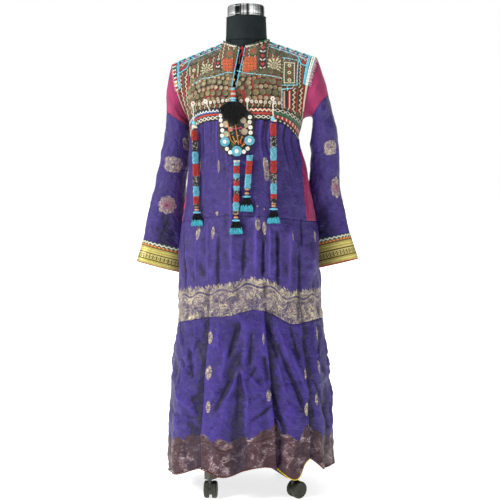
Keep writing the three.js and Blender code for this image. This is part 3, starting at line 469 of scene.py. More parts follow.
def pair(operation):
    """A method that works on a socket and one more value."""
    return lambda self, other: self.math(operation, self, other)


def swapped(operation):
    """The same with the other value first."""
    return lambda self, other: self.math(operation, other, self)


def single(operation):
    """A method that works on a socket alone."""
    return lambda self: self.math(operation, self)


class Wire:
    """An output socket of a material, or an expression on it."""

    def __init__(self, finish, socket):
        self.finish = finish
        self.socket = socket

    def math(self, operation, *values, clamp=False):
        settings = {"operation": operation, "use_clamp": clamp}
        return self.finish.node("ShaderNodeMath", settings, dict(enumerate(values)))

    __add__, __radd__ = pair("ADD"), swapped("ADD")
    __sub__, __rsub__ = pair("SUBTRACT"), swapped("SUBTRACT")
    __mul__, __rmul__ = pair("MULTIPLY"), swapped("MULTIPLY")
    __truediv__, __rtruediv__ = pair("DIVIDE"), swapped("DIVIDE")
    __pow__, __gt__, __lt__ = pair("POWER"), pair("GREATER_THAN"), pair("LESS_THAN")
    # The angle of a point whose height is this and whose width is the other; a zigzag; the greater of two
    around, ping, most = pair("ARCTAN2"), pair("PINGPONG"), pair("MAXIMUM")
    __abs__, fract, sine = single("ABSOLUTE"), single("FRACT"), single("SINE")

    def wave(self):
        """A sine between 0 and 1."""
        return self.sine() * 0.5 + 0.5

    def held(self):
        """The value kept between 0 and 1."""
        return self.math("ADD", self, 0.0, clamp=True)

    def ramp(self, low, high):
        """0 at low and 1 at high, smooth between them."""
        settings = {"interpolation_type": "SMOOTHSTEP"}
        return self.finish.node("ShaderNodeMapRange", settings, {"Value": self, "From Min": low, "From Max": high})

    def within(self, low, high, soft=0.01):
        """1 between two values, with soft edges."""
        return self.ramp(low - soft, low + soft) * (1.0 - self.ramp(high - soft, high + soft))

    def near(self, low, high):
        """1 where the value is within low of 0, and 0 beyond high."""
        return 1.0 - abs(self).ramp(low, high)


class Finish:
    """A node material built from expressions."""

    def __init__(self, name):
        self.material = bpy.data.materials.new(name)
        self.material.use_nodes = True
        self.tree = self.material.node_tree
        self.shader = self.tree.nodes["Principled BSDF"]

    def node(self, kind, settings=None, inputs=None, output=0):
        made = self.tree.nodes.new(kind)
        for name, value in (settings or {}).items():
            if name == "stops":
                self._stops(made.color_ramp, value)
            else:
                setattr(made, name, value)
        for key, value in (inputs or {}).items():
            self.link(made.inputs[key], value)
        return Wire(self, made.outputs[output])

    def _stops(self, ramp, stops):
        while len(ramp.elements) < len(stops):
            ramp.elements.new(0.5)
        for element, (place, color) in zip(ramp.elements, stops):
            element.position = place
            element.color = (*color, 1.0)

    def link(self, socket, value):
        if isinstance(value, str) and socket.type == "RGBA":
            value = tone(value)
        if isinstance(value, Wire):
            self.tree.links.new(value.socket, socket)
        elif isinstance(value, tuple) and len(socket.default_value) == 4:
            socket.default_value = (*value, 1.0) if len(value) == 3 else value
        else:
            socket.default_value = value

    def set(self, **values):
        """Sets the shader's own sockets; an underscore in a name stands for a space."""
        for name, value in values.items():
            self.link(self.shader.inputs[name.replace("_", " ")], value)
        return self

    def split(self, where, count=3):
        """The first coordinates of a place."""
        return tuple(self.node("ShaderNodeSeparateXYZ", None, {0: where}, i) for i in range(count))

    def uv(self):
        """The two coordinates of the cloth's UV map."""
        return self.split(self.node("ShaderNodeUVMap", {"uv_map": "cloth"}), 2)

    def attribute(self, name, output=2):
        return self.node("ShaderNodeAttribute", {"attribute_name": name}, None, output)

    def point(self, u, v, w=0.0):
        return self.node("ShaderNodeCombineXYZ", None, {0: u, 1: v, 2: w})

    def place(self):
        return self.node("ShaderNodeTexCoord", None, None, 3)

    def noise(self, where, scale, detail=2.0, rough=0.5, twist=0.0):
        inputs = {"Vector": where, "Scale": scale, "Detail": detail, "Roughness": rough, "Distortion": twist}
        return self.node("ShaderNodeTexNoise", None, inputs)

    def cells(self, where, scale, feature="F1", output=0):
        return self.node("ShaderNodeTexVoronoi", {"feature": feature}, {"Vector": where, "Scale": scale}, output)

    def blend(self, share, a, b):
        settings = {"data_type": "RGBA", "blend_type": "MIX", "clamp_factor": True}
        return self.node("ShaderNodeMix", settings, {0: share, 6: a, 7: b}, 2)

    def layers(self, color, *parts):
        """Colours laid one over the other, each where its share says."""
        for share, over in parts:
            color = self.blend(share, color, over)
        return color

    def mottled(self, where, scale, first, second, detail=3.0, low=0.3, high=0.7):
        """Two colours in soft clouds."""
        return self.blend(self.noise(where, scale, detail).ramp(low, high), first, second)

    def bump(self, height, strength=0.3, depth=0.001):
        inputs = {"Height": height, "Strength": strength, "Distance": depth}
        return self.set(Normal=self.node("ShaderNodeBump", None, inputs))


def cloth(name):
    """A new finish for cloth, its two coordinates and the place that they give."""
    f = Finish(name)
    u, v = f.uv()
    return f, u, v, f.point(u, v)


def tone(code):
    """A colour given as six hexadecimal digits, in linear light."""
    values = [int(code[i : i + 2], 16) / 255 for i in (0, 2, 4)]
    return tuple(v / 12.92 if v <= 0.04045 else ((v + 0.055) / 1.055) ** 2.4 for v in values)


def linear(code):
    return np.array(tone(code))


def varied(rng, code, low, high):
    """A colour made a little darker or lighter at random."""
    return tuple(linear(code) * rng.uniform(low, high))


# Meshes


def move_points(points):
    return (np.asarray(points, dtype=float).reshape(-1, 3) + ORIGIN) * MM


def add_piece(name, points, faces, finish, uv=None, values=None, tint=None, replaced=()):
    """A mesh from points in millimetres and faces of three or four corners, riding on the dress's body."""
    mesh = bpy.data.meshes.new(name)
    mesh.from_pydata([], [], [])
    points = move_points(points)
    faces = [np.asarray(group, dtype=np.int64) for group in faces if len(group)]
    mesh.vertices.add(len(points))
    mesh.vertices.foreach_set("co", points.astype(np.float32).ravel())
    loops = np.concatenate([group.ravel() for group in faces])
    sizes = np.concatenate([np.full(len(group), group.shape[1]) for group in faces])
    mesh.loops.add(len(loops))
    mesh.loops.foreach_set("vertex_index", loops.astype(np.int32))
    mesh.polygons.add(len(sizes))
    mesh.polygons.foreach_set("loop_start", np.concatenate([[0], np.cumsum(sizes)[:-1]]).astype(np.int32))
    mesh.update(calc_edges=True)
    if uv is not None:
        layer = mesh.uv_layers.new(name="cloth")
        layer.data.foreach_set("uv", np.asarray(uv, dtype=np.float32).reshape(-1, 2)[loops].ravel())
    for key, value in (values or {}).items():
        attribute = mesh.attributes.new(key, "FLOAT", "POINT")
        attribute.data.foreach_set("value", np.asarray(value, dtype=np.float32).ravel())
    if tint is not None:
        attribute = mesh.attributes.new("tint", "FLOAT_COLOR", "POINT")
        colors = np.concatenate([np.asarray(tint, dtype=np.float32), np.ones((len(tint), 1), np.float32)], axis=1)
        attribute.data.foreach_set("color", colors.ravel())
    mesh.polygons.foreach_set("use_smooth", np.full(len(sizes), True))
    mesh.materials.append(finish)
    mesh.validate()
    obj = bpy.data.objects.new(name, mesh)
    bpy.context.scene.collection.objects.link(obj)
    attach(obj, ROOT)
    if replaced:
        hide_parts(*replaced)
    return obj


def grid_faces(rows, columns, closed=False, start=0):
    """Faces of a grid of points, facing out where the rows run down and the columns to the right."""
    r, c = np.meshgrid(np.arange(rows - 1), np.arange(columns if closed else columns - 1), indexing="ij")
    d = (c + 1) % columns
    corners = [r * columns + c, (r + 1) * columns + c, (r + 1) * columns + d, r * columns + d]
    return np.stack(corners, axis=-1).reshape(-1, 4) + start


def add_sheet(name, grid, finish, uv, values=None, thick=1.2, faces=None, replaced=()):
    """A thin shell of cloth over a grid of points; the wall goes inwards."""
    faces = grid_faces(*grid.shape[:2]) if faces is None else faces
    obj = add_piece(name, grid, [faces], finish, uv, values, replaced=replaced)
    wall = obj.modifiers.new("wall", "SOLIDIFY")
    wall.thickness = thick * MM
    wall.offset = -1
    wall.use_even_offset = False
    return obj


def lattice(first, second):
    """Two arrays of shares as a grid: rows follow the first and columns the second."""
    return np.meshgrid(first, second, indexing="ij")


def shares_over(rows, columns):
    """Shares down and across a grid with so many rows and columns of faces, from 0 to 1."""
    return lattice(np.linspace(0, 1, rows + 1), np.linspace(0, 1, columns + 1))


# Stage: pale floor, soft light, and the camera at the photograph's angle
CAMERA = {
    "place": (0.5364, -2.9544, 0.95),
    "azimuth": 10.0,
    "tilt": 4.31,
    "roll": 0.65,
    "lens": 72.0,
    "shift": 0.0024,
}
# Softboxes: where they stand, their size in metres, their power in watts and their colour
LIGHTS = {
    "fill_light": ((2.8, -2.4, 1.9), 2.4, 16.0, (0.97, 0.985, 1.0)),
    "top_light": ((0.2, -0.4, 4.0), 3.0, 18.0, (1.0, 1.0, 1.0)),
    "back_light": ((0.4, 3.2, 2.4), 2.6, 26.0, (1.0, 1.0, 1.0)),
}
KEY = {"from": (-1.75, -1.35, 1.75), "strength": 3.2, "angle": 20.0, "color": (1.0, 0.985, 0.96)}
LIGHTS_AIM = (0.0, 0.0, 0.85)
FLOOR_SIZE = 60.0
FLOOR_GLOW = 0.8


def place_in_scene(name, data, matrix=None):
    """A new object in the scene, at a place given by a matrix."""
    obj = bpy.data.objects.new(name, data)
    bpy.context.scene.collection.objects.link(obj)
    if matrix is not None:
        obj.matrix_world = matrix
    return obj


def make_light(name, kind, power, color, matrix):
    light = bpy.data.lights.new(name, kind)
    light.energy = power
    light.color = color
    place_in_scene(name, light, matrix)
    return light


def make_camera():
    azimuth, tilt = math.radians(CAMERA["azimuth"]), math.radians(CAMERA["tilt"])
    ahead = Vector((-math.sin(azimuth) * math.cos(tilt), math.cos(azimuth) * math.cos(tilt), -math.sin(tilt)))
    lens = bpy.data.cameras.new("photo_camera")
    lens.lens = CAMERA["lens"]
    lens.sensor_width = 36.0
    lens.shift_x = CAMERA["shift"]
    turn = ahead.to_track_quat("-Z", "Y").to_matrix()
    roll = Matrix.Rotation(math.radians(-CAMERA["roll"]), 3, "Z")
    matrix = Matrix.Translation(CAMERA["place"]) @ (turn @ roll).to_4x4()
    bpy.context.scene.camera = place_in_scene("photo_camera", lens, matrix)


def floor_finish():
    f = Finish("studio_floor")
    grain = f.noise(f.place(), 3.0, 4.0, 0.6)
    color = f.blend(grain, "f4f4f4", "fbfbfb")
    f.set(Base_Color=color, Roughness=grain * 0.1 + 0.75, Emission_Color=color, Emission_Strength=FLOOR_GLOW)
    return f.material


def make_key(studio):
    """The main light, broad and high on the left in front."""
    matrix = (-Vector(KEY["from"])).to_track_quat("-Z", "Y").to_matrix().to_4x4()
    light = make_light("key_light", "SUN", KEY["strength"] * studio.light_power, KEY["color"], matrix)
    light.angle = math.radians(KEY["angle"])


def make_stage(studio):
    make_camera()
    scene = bpy.context.scene
    scene.view_settings.view_transform = "Standard"
    half = FLOOR_SIZE / 2
    mesh = bpy.data.meshes.new("floor")
    mesh.from_pydata([(-half, -half, 0), (half, -half, 0), (half, half, 0), (-half, half, 0)], [], [(0, 1, 2, 3)])
    mesh.materials.append(floor_finish())
    place_in_scene("floor", mesh)
    make_key(studio)
    for name, (place, size, power, color) in LIGHTS.items():
        aim = Vector(LIGHTS_AIM) - Vector(place)
        matrix = Matrix.Translation(place) @ aim.to_track_quat("-Z", "Y").to_matrix().to_4x4()
        make_light(name, "AREA", power * studio.light_power, color, matrix).size = size
    world = scene.world or bpy.data.worlds.new("studio")
    scene.world = world
    world.use_nodes = True
    nodes, links = world.node_tree.nodes, world.node_tree.links
    seen, lit = nodes["Background"], nodes.new("ShaderNodeBackground")
    seen.inputs[0].default_value = lit.inputs[0].default_value = (1.0, 1.0, 1.0, 1.0)
    lit.inputs[1].default_value = studio.surround
    chosen = nodes.new("ShaderNodeMixShader")
    links.new(nodes.new("ShaderNodeLightPath").outputs["Is Camera Ray"], chosen.inputs[0])
    links.new(lit.outputs[0], chosen.inputs[1])
    links.new(seen.outputs[0], chosen.inputs[2])
    links.new(chosen.outputs[0], nodes["World Output"].inputs["Surface"])


# Finishes


def scaled(color, by):
    return tuple(min(c * by, 1.0) for c in color)


def silk_finish(name, light, dark, band=None, gore=None):
    """Plain woven silk with slubs, painted shade in its troughs and wrinkles and painted highlights on its ridges,
    crumples and crease lines; band names the woven metal band that runs along it, if it has one.
    """
    f, u, v, where = cloth(name)
    fold = f.attribute("fold")
    cloud = f.noise(where, 0.11, 4.0, 0.6)
    slub = f.noise(f.point(u * 0.35, v * 3.0), 2.2, 3.0, 0.6)
    wrinkle = f.noise(f.point(u * 0.7, v * 1.3, cloud), 0.42, 5.0, 0.62, 1.6)
    facet = f.cells(f.point(u + wrinkle * 3.0, v * 0.7 + wrinkle * 2.0), 0.34, "DISTANCE_TO_EDGE")
    crumple = f.noise(f.point(u * 0.5 + v * 0.35, v * 0.6), 0.75, 4.0, 0.55, 2.2)
    bent = f.noise(f.point(u * 0.8 + v * 0.25, v * 0.9), 0.2, 3.0, 0.6, 1.2)
    line = (bent - 0.5).near(0.0, 0.016)
    other = f.noise(f.point(v * 0.7, u - v * 0.3, 4.0), 0.26, 2.0, 0.5, 1.0)
    line = line.most((other - 0.52).near(0.0, 0.014)) * cloud.ramp(0.38, 0.55)
    middle = tuple((a + b) / 2 for a, b in zip(light, dark))
    color = f.blend(cloud.ramp(0.32, 0.68) * 0.6 + 0.2, middle, light)
    # Painted shade and highlights: darker in the troughs of the folds and in wrinkle hollows, lighter on fold ridges,
    # crumples and crease lines
    color = f.layers(
        color,
        (fold.ramp(0.47, 0.2) * 0.85, scaled(dark, 0.55)),
        (fold.ramp(0.54, 0.86) * 0.6, scaled(light, 1.5)),
        (wrinkle.ramp(0.5, 0.28) * 0.28, dark),
        (crumple.ramp(0.56, 0.72) * 0.3, scaled(light, 1.4)),
        (slub.ramp(0.55, 0.8) * 0.22, "6a5cae"),
        (line * 0.32, scaled(light, 1.7)),
    )
    weave = (u * 62.0).sine() * 0.5 + (v * 48.0).sine() * 0.5
    height = weave * 0.04 + slub * 0.35 + wrinkle * 3.6 + crumple * 3.0 + facet.ramp(0.0, 0.4) * 1.1 + line * 1.2
    shine = 0.36 + cloud * 0.2
    if band:
        share = f.attribute("band")
        inside, gold, paint = band(f, u, v, share)
        # Painted shade: the woven band is darkened in the troughs of the folds
        paint = f.blend(fold.ramp(0.5, 0.16) * 0.6, paint, "1e1430")
        color = f.blend(inside, color, paint)
        metal = inside * gold
        shine = shine - metal * 0.08
        height = height + metal * 0.6
        f.set(Metallic=metal * 0.4)
    if gore:
        color = f.blend(f.attribute("gore").ramp(0.4, 0.6), color, f.blend(cloud, *gore))
    f.set(Base_Color=color, Roughness=shine, Specular_IOR_Level=0.35)
    f.bump(height, 0.75, 0.0016)
    return f.material


def foliage(f, where, scale, turns):
    """Thin curling lines, as of woven scrolls."""
    field = f.noise(where, scale, 2.0, 0.45, 1.4)
    return ((field * turns).fract() - 0.5).near(0.08, 0.26)


def woven_band(period, dense, gold_tone, mid_tone, ground_tone, wear_tone):
    """A woven metal band: dense curls, leaning flames on its upper edge and a waving line below them."""

    def paint(f, u, v, share):
        where = f.point(u, v)
        wander = f.noise(where, 0.22, 3.0, 0.6)
        step = (u / period + wander * 0.8).fract()
        tongue = (u / period * 3.1 + wander * 2.6).fract()
        flame = (step * math.pi).sine() * (1.15 - step * 0.5)
        lobe, flick = 0.15 - 0.1 * dense, 0.01 + 0.12 * dense
        edge = flame * lobe + (1.0 - tongue) * (tongue > 0.12) * flick + wander * 0.14 + 0.8
        foot = (step * math.pi * 2.0).sine() * 0.02 + wander * 0.04 - 0.03
        inside = (share < edge) * (share > foot)
        curls = foliage(f, f.point(u, v * 1.15), 0.3, 7.0)
        fine = foliage(f, where, 1.1, 5.0)
        lean = (u / period * 1.5 - share * 2.2 + wander * 1.6).fract()
        leaf = lean.within(0.12, 0.5, 0.1) * (share > 0.8)
        wave = abs(share - 0.74 - (u * (2 * math.pi / period / 2.2)).sine() * 0.06)
        line = 1.0 - wave.ramp(0.012, 0.035)
        rim = wave.within(0.04, 0.075, 0.01)
        bare = 0.09 * (1.0 - dense) - 0.022
        lobes = f.noise(where, 0.3, 3.0, 0.6, 0.8).ramp(0.4 + bare, 0.6 + bare)
        gold = curls.most(fine * 0.75) * (lobes * (1.0 - dense * 0.5) + dense * 0.5)
        gold = gold.most(leaf * dense * 0.8).most(rim * dense * 0.7)
        gold = (gold * (1.0 - line)).held()
        worn = f.noise(f.point(u * 0.4, v * 1.6), 0.5, 4.0, 0.7)
        color = f.blend(lobes * 0.8, ground_tone, mid_tone)
        bright = f.noise(f.point(u, v * 0.5, 9.0), 0.2, 2.0).ramp(0.36, 0.62)
        color = f.blend(gold * (bright * 0.45 + 0.6).held(), color, gold_tone)
        color = f.blend(worn.ramp(0.55, 0.75) * 0.5, color, wear_tone)
        return inside, gold, color

    return paint


def plain_finish(name, light, dark, weave=50.0, sheen=0.2):
    """Plain woven cloth with a fine grain and uneven dye."""
    f, u, v, where = cloth(name)
    cloud = f.noise(where, 0.2, 4.0, 0.6)
    grain = (u * weave).sine() * (v * weave).sine()
    color = f.blend(cloud.ramp(0.3, 0.7), dark, light)
    color = f.blend(grain.ramp(0.2, 0.9) * 0.15, color, dark)
    f.set(Base_Color=color, Roughness=0.66 + cloud * 0.12, Sheen_Weight=sheen * 0.3, Sheen_Roughness=0.5)
    f.bump(grain * 0.2 + f.noise(where, 0.6, 5.0, 0.6) * 1.5, 0.5, 0.0012)
    return f.material


def motif_finish():
    """Woven metal sprigs in the silk: fine lines in pale gold over mauve."""
    f, _, v, where = cloth("woven_sprig")
    lines = foliage(f, where, 0.7, 5.0)
    threads = (v * 24.0).wave()
    color = f.blend(lines * 0.9, "594a6c", "cdbf94")
    color = f.blend(threads * 0.25, color, "9a8a8c")
    color = f.blend(f.attribute("heart"), color, "8a4a68")
    f.set(Base_Color=color, Roughness=0.46 - lines * 0.1, Metallic=lines * 0.4)
    f.bump(threads * 0.3 + lines, 0.4, 0.0006)
    return f.material


def bead_finish():
    """Small glass beads, buttons and threads, each with its own colour."""
    f = Finish("glass_beads")
    tint = f.attribute("tint", 0)
    speck = f.noise(f.place(), 900.0, 2.0)
    color = f.blend(speck.ramp(0.45, 0.8) * 0.25, tint, "1a1a1a")
    f.set(Base_Color=color, Roughness=0.26 + speck * 0.2, Coat_Weight=0.25, Coat_Roughness=0.15)
    return f.material


def thread_finish():
    """Twisted yarn and cord with its own colour."""
    f = Finish("yarn")
    tint = f.attribute("tint", 0)
    fuzz = f.noise(f.place(), 700.0, 4.0, 0.7)
    color = f.blend(fuzz.ramp(0.3, 0.8) * 0.3, tint, "080808")
    f.set(Base_Color=color, Roughness=0.92, Sheen_Weight=0.06, Specular_IOR_Level=0.2)
    f.bump(fuzz, 0.6, 0.0008)
    return f.material


def coin_finish():
    """Dull silver coins with struck marks, darker in the hollows."""
    f = Finish("old_coins")
    where = f.place()
    struck = f.noise(where, 420.0, 3.0, 0.7, 0.8)
    dirt = f.noise(where, 90.0, 3.0)
    color = f.blend(struck.ramp(0.6, 0.35) * 0.5, f.attribute("tint", 0), "4a4538")
    color = f.blend(dirt.ramp(0.55, 0.75) * 0.4, color, "6b5a44")
    f.set(Base_Color=color, Roughness=0.38 + dirt * 0.25, Metallic=struck.ramp(0.3, 0.6) * 0.3 + 0.2)
    f.bump(struck, 0.7, 0.0006)
    return f.material


def hard_finish(name, light, dark, rough, metal=0.0, scale=60.0, grain=0.3, coat=0.0):
    """Moulded plastic, painted or bare metal with fine wear."""
    f = Finish(name)
    where = f.place()
    wear = f.noise(where, scale, 5.0, 0.65)
    fine = f.noise(where, scale * 9, 2.0)
    color = f.blend(wear.ramp(0.35, 0.7), dark, light)
    f.set(Base_Color=color, Roughness=wear * 0.18 + (rough - 0.09), Metallic=metal, Coat_Weight=coat)
    f.bump(fine, grain, 0.0003)
    return f.material


# Small shapes: turned templates, copied many times into one piece


UPRIGHT = np.eye(3)


def circle(count):
    """Angles of points spaced evenly round a circle."""
    return np.arange(count) * 2 * math.pi / count


def ring(centre, wide, deep, angle, rise=0.0):
    """Points round a centre at the given angles."""
    return centre + np.stack([wide * np.cos(angle), deep * np.sin(angle), rise + 0 * angle], axis=-1)


def turned(profile, sides):
    """Points and faces of a profile of (radius, height) pairs turned round z; radius 0 closes an end."""
    points, rings, quads, fans = [], [], [], []
    for radius, height in profile:
        made = [(0.0, 0.0, height)] if radius <= 0 else list(ring((0, 0, height), radius, radius, circle(sides)))
        rings.append(range(len(points), len(points) + len(made)))
        points += made
    for low, high in zip(rings, rings[1:]):
        for i in range(sides):
            j = (i + 1) % sides
            if len(low) == 1:
                fans.append((low[0], high[j], high[i]))
            elif len(high) == 1:
                fans.append((low[i], low[j], high[0]))
            else:
                quads.append((low[i], low[j], high[j], high[i]))
    quads, fans = np.array(quads, dtype=int).reshape(-1, 4), np.array(fans, dtype=int).reshape(-1, 3)
    return np.array(points, dtype=float), quads, fans


def ball(rows=4, sides=7):
    share = np.linspace(0, math.pi, rows + 1)
    profile = [(math.sin(t) if 0 < i < rows else 0.0, -math.cos(t)) for i, t in enumerate(share)]
    return turned(profile, sides)


BEAD = ball()
COIN = turned([(0, -0.06), (1, -0.06), (1, 0.1), (0.84, 0.12), (0.8, 0.05), (0.35, 0.08), (0, 0.1)], 12)
BUTTON = turned([(0, 0), (0.9, 0), (1, 0.2), (0.85, 0.42), (0.5, 0.3), (0.2, 0.3), (0.12, 0.12), (0, 0.1)], 12)
BUGLE = turned([(0, -1), (0.8, -1), (1, -0.9), (1, 0.9), (0.8, 1), (0, 1)], 6)


class Heap:
    """Collects many small shapes, each with its own colour, into one piece."""

    def __init__(self):
        self.points, self.quads, self.fans, self.tints, self.count = [], [], [], [], 0

    def add(self, points, quads, fans, tint):
        points = np.asarray(points, dtype=float).reshape(-1, 3)
        if len(quads):
            self.quads.append(quads.reshape(-1, 4) + self.count)
        if len(fans):
            self.fans.append(fans.reshape(-1, 3) + self.count)
        self.tints.append(np.broadcast_to(tint, (len(points), 3)))
        self.points.append(points)
        self.count += len(points)

    def spread(self, template, places, frames, sizes, tints):
        """Copies of a template at places, with frames of right, up and outward axes.

        One frame, one size or three, and one colour may stand for all; fewer colours than places repeat."""
        points, quads, fans = template
        places = np.asarray(places, dtype=float).reshape(-1, 3)
        many = len(places)
        frames = np.broadcast_to(np.asarray(frames, dtype=float), (many, 3, 3))
        sizes = np.asarray(sizes, dtype=float)
        sizes = np.broadcast_to(sizes[:, None] if sizes.ndim == 1 and len(sizes) != 3 else sizes, (many, 3))
        moved = places[:, None] + np.einsum("mpk,mkj->mpj", points[None] * sizes[:, None], frames)
        tints = [tints] if isinstance(tints, str) else tints
        shades = np.array([tone(t) if isinstance(t, str) else t for t in tints], dtype=float)
        shades = shades[np.arange(many) % len(shades)]
        start = np.arange(many)[:, None, None] * len(points)
        self.add(moved, quads[None] + start, fans[None] + start, np.repeat(shades, len(points), axis=0))

    def tube(self, path, radius, sides, tint, up=(0, 0, 1)):
        """A closed tube round a path."""
        rings = tube_points(path, radius, sides, up)
        rows = len(rings)
        ends = np.stack([rings[0].mean(axis=0), rings[-1].mean(axis=0)])
        first = np.arange(sides)
        last = first + (rows - 1) * sides
        after = np.roll(first, -1)
        start_cap = np.stack([np.full(sides, rows * sides), after, first], axis=-1)
        end_cap = np.stack([np.full(sides, rows * sides + 1), last, after + (rows - 1) * sides], axis=-1)
        fans = np.concatenate([start_cap, end_cap])
        shade = linear(tint) if isinstance(tint, str) else np.asarray(tint, dtype=float)
        if shade.ndim == 2:
            shade = np.concatenate([np.repeat(shade, sides, axis=0), shade[:1], shade[-1:]])
        self.add(np.concatenate([rings.reshape(-1, 3), ends]), grid_faces(rows, sides, True)[:, ::-1], fans, shade)

    def piece(self, name, finish, replaced=()):
        faces = [np.concatenate(group) for group in (self.quads, self.fans) if group]
        tint = np.concatenate(self.tints)
        add_piece(name, np.concatenate(self.points), faces, finish, tint=tint, replaced=replaced)


def tube_points(path, radius, sides, up=(0, 0, 1)):
    """Rings of points round a path; the radius may change along it."""
    path = np.asarray(path, dtype=float)
    along = unit(np.gradient(path, axis=0))
    side = unit(np.cross(along, np.asarray(up, dtype=float)))
    over = np.cross(side, along)
    angle = circle(sides)[None, :, None]
    radius = np.broadcast_to(np.asarray(radius, dtype=float), (len(path),))[:, None, None]
    return path[:, None] + radius * (np.cos(angle) * side[:, None] + np.sin(angle) * over[:, None])


def frames_on(surface, a, b, step, way=1.0):
    """Right, up and outward axes of a surface at places on it, one row for each axis."""
    right = unit(surface(a + step, b) - surface(a - step, b))
    other = surface(a, b + step * 2) - surface(a, b - step * 2)
    normal = unit(np.cross(right, other)) * way
    return np.stack([right, np.cross(normal, right), normal], axis=-2)


def tilted(frames, angle):
    """Frames turned round their outward axis by angles in degrees."""
    c, s = cos(angle)[..., None], sin(angle)[..., None]
    right, up, out = frames[..., 0, :], frames[..., 1, :], frames[..., 2, :]
    return np.stack([c * right + s * up, c * up - s * right, out], axis=-2)


def steps_of(points):
    return np.linalg.norm(np.diff(np.asarray(points, dtype=float), axis=0), axis=1)


def twisted(size, vary, beat, count):
    """The radius of a twisted cord at each of its points."""
    return size + vary * np.sin(np.arange(count) * beat)


def path_count(points, pitch):
    """How many things go along a path at a pitch."""
    return max(int(steps_of(points).sum() / pitch), 2)


def along_path(points, count):
    """Evenly spaced points along a path of points."""
    points = np.asarray(points, dtype=float)
    run = np.concatenate([[0], np.cumsum(steps_of(points))])
    places = (np.arange(count) + 0.5) / count * run[-1]
    return np.stack([np.interp(places, run, points[:, i]) for i in range(points.shape[1])], axis=-1)


def shades(rng, codes, count, vary=0.12):
    """Random picks of colours, each a little lighter or darker."""
    base = np.array([tone(code) for code in codes])[rng.integers(0, len(codes), count)]
    return np.clip(base * rng.uniform(1 - vary, 1 + vary, (count, 1)), 0, 1)


# Skirt: gathers, folds and creases. A crease runs between two places given by turn and height.
# Rows of faces down each length of the skirt, and how many run across a gusset
SKIRT_ROWS = {"front": 48, "back": 32, "gusset": 32, "mid": 50, "low": 72}
GUSSET_COLUMNS = 20
# Millimetres of cloth for one degree, how strongly the creases show, and where the small gathers fade
ARC = 3.6
CREASE_GAIN = 1.5
SMALL_GATHERS = {"fade": 250, "first": (1.1, 76, 92, 5), "second": (0.9, 47, 60, 7)}
CREASES = table(
    "turn z turn2 z2 wide deep",
    (-73, 936, -52.5, 612, 7, -5),
    (-17.5, 778, -18.2, 620, 6, -4),
    (-8, 936, -5.5, 650, 8, 4),
    (4, 770, 2.5, 660, 5, -4),
    (14, 878, 12.5, 660, 7, 4),
    (18.8, 764, 17.8, 660, 4, -6),
    (31, 790, 30, 636, 5, -6),
    (24.8, 798, 23.5, 660, 5, 3),
    (43.8, 812, 40.5, 636, 8, 4),
    (58.2, 828, 54.2, 742, 4, -4),
    (-40.5, 762, -39.2, 628, 6, 3),
    (-28.8, 814, -26, 636, 6, 3),
    (51.8, 732, 47.5, 502, 6, -4),
    (-0.5, 530, -8.2, 420, 7, -6),
    (-22.5, 506, 1.5, 520, 4, -2),
    (2, 498, 17, 496, 4, -2),
    (-19.2, 462, -2.8, 476, 4, 1.5),
    (19.8, 528, 29, 420, 6, -6),
    (28.8, 514, 37.5, 422, 6, 4),
    (39.2, 518, 46.2, 416, 6, -4),
    (-47.8, 488, -34.2, 474, 4, -2),
    (-63.5, 520, -49, 436, 5, -3),
    (-38.2, 522, -38.8, 434, 5, 3),
    (4.2, 490, 3, 404, 6, 3),
    (-17, 528, -14.8, 442, 6, 3),
    (8.8, 506, 7, 400, 5, -3),
    (64.5, 518, 64.5, 438, 5, 3),
    (-54.5, 350, -38.8, 410, 4, 3),
    (-52.8, 416, -38.5, 358, 5, -3.5),
    (-57, 314, -33.5, 262, 5, 3),
    (-44, 446, -37.2, 358, 7, -5),
    (-61.2, 246, -28, 242, 5, -2.5),
    (-36.2, 306, -30, 248, 5, -3),
    (-53.8, 222, -35.2, 208, 4, 2.5),
    (-50.2, 376, -55.8, 304, 5, -3),
    (0.5, 400, -7.8, 296, 5, 5),
    (-5, 368, -16, 268, 8, -6),
    (0.5, 400, -0.5, 236, 6, -4),
    (1.2, 394, 5.8, 308, 5, 5),
    (5.8, 308, 4, 208, 6, 4),
    (1.2, 392, 15.2, 340, 5, 4),
    (5.8, 304, 15.2, 326, 4, -3),
    (7.2, 246, 23.8, 294, 6, -5),
    (-22.5, 240, -10.5, 226, 4, 3),
    (-16, 258, -6.5, 226, 4, 3),
    (17.8, 434, 20.2, 358, 6, -5),
    (-7.8, 464, -11.8, 358, 8, 4),
    (5.8, 456, 2.8, 406, 6, 4),
    (10, 360, 21.5, 368, 5, -2.5),
    (-18.5, 220, -10.5, 244, 5, -3),
    (12, 406, 5, 360, 5, -3),
    (-23.2, 354, -14.8, 316, 5, 3),
    (-11.5, 340, -19.2, 286, 5, -3),
    (27.5, 472, 50.5, 250, 7, -6),
    (35, 476, 54.8, 290, 5, 5),
    (19.5, 358, 32.8, 204, 7, -6),
    (22.5, 274, 31.5, 214, 5, 4),
    (32.8, 348, 48.8, 350, 4, -2),
    (31.5, 258, 41.5, 222, 4, 3),
    (28.5, 404, 32.8, 324, 5, 4),
    (34.2, 302, 46.8, 266, 4, -3),
    (39, 384, 48.5, 394, 4, 2),
    (57.8, 364, 81, 194, 7, -6),
    (64, 434, 85.5, 342, 5, 4),
    (55.8, 302, 62.8, 228, 5, 3),
    (74.2, 462, 63.8, 392, 5, -3),
    (59, 294, 84.8, 292, 4, 2),
    (-17.2, 188, -4, 96, 6, 4),
    (2.8, 200, 0.5, 102, 8, -4),
    (14.8, 224, 12.8, 116, 6, 3),
    (39.5, 198, 35.5, 88, 7, 4),
    (-42.2, 176, -41.2, 100, 7, -3),
    (28, 198, 27.8, 124, 6, -5),
)
BACK_CREASES = {"turn": 181, "lift": 9, "share": 0.85}
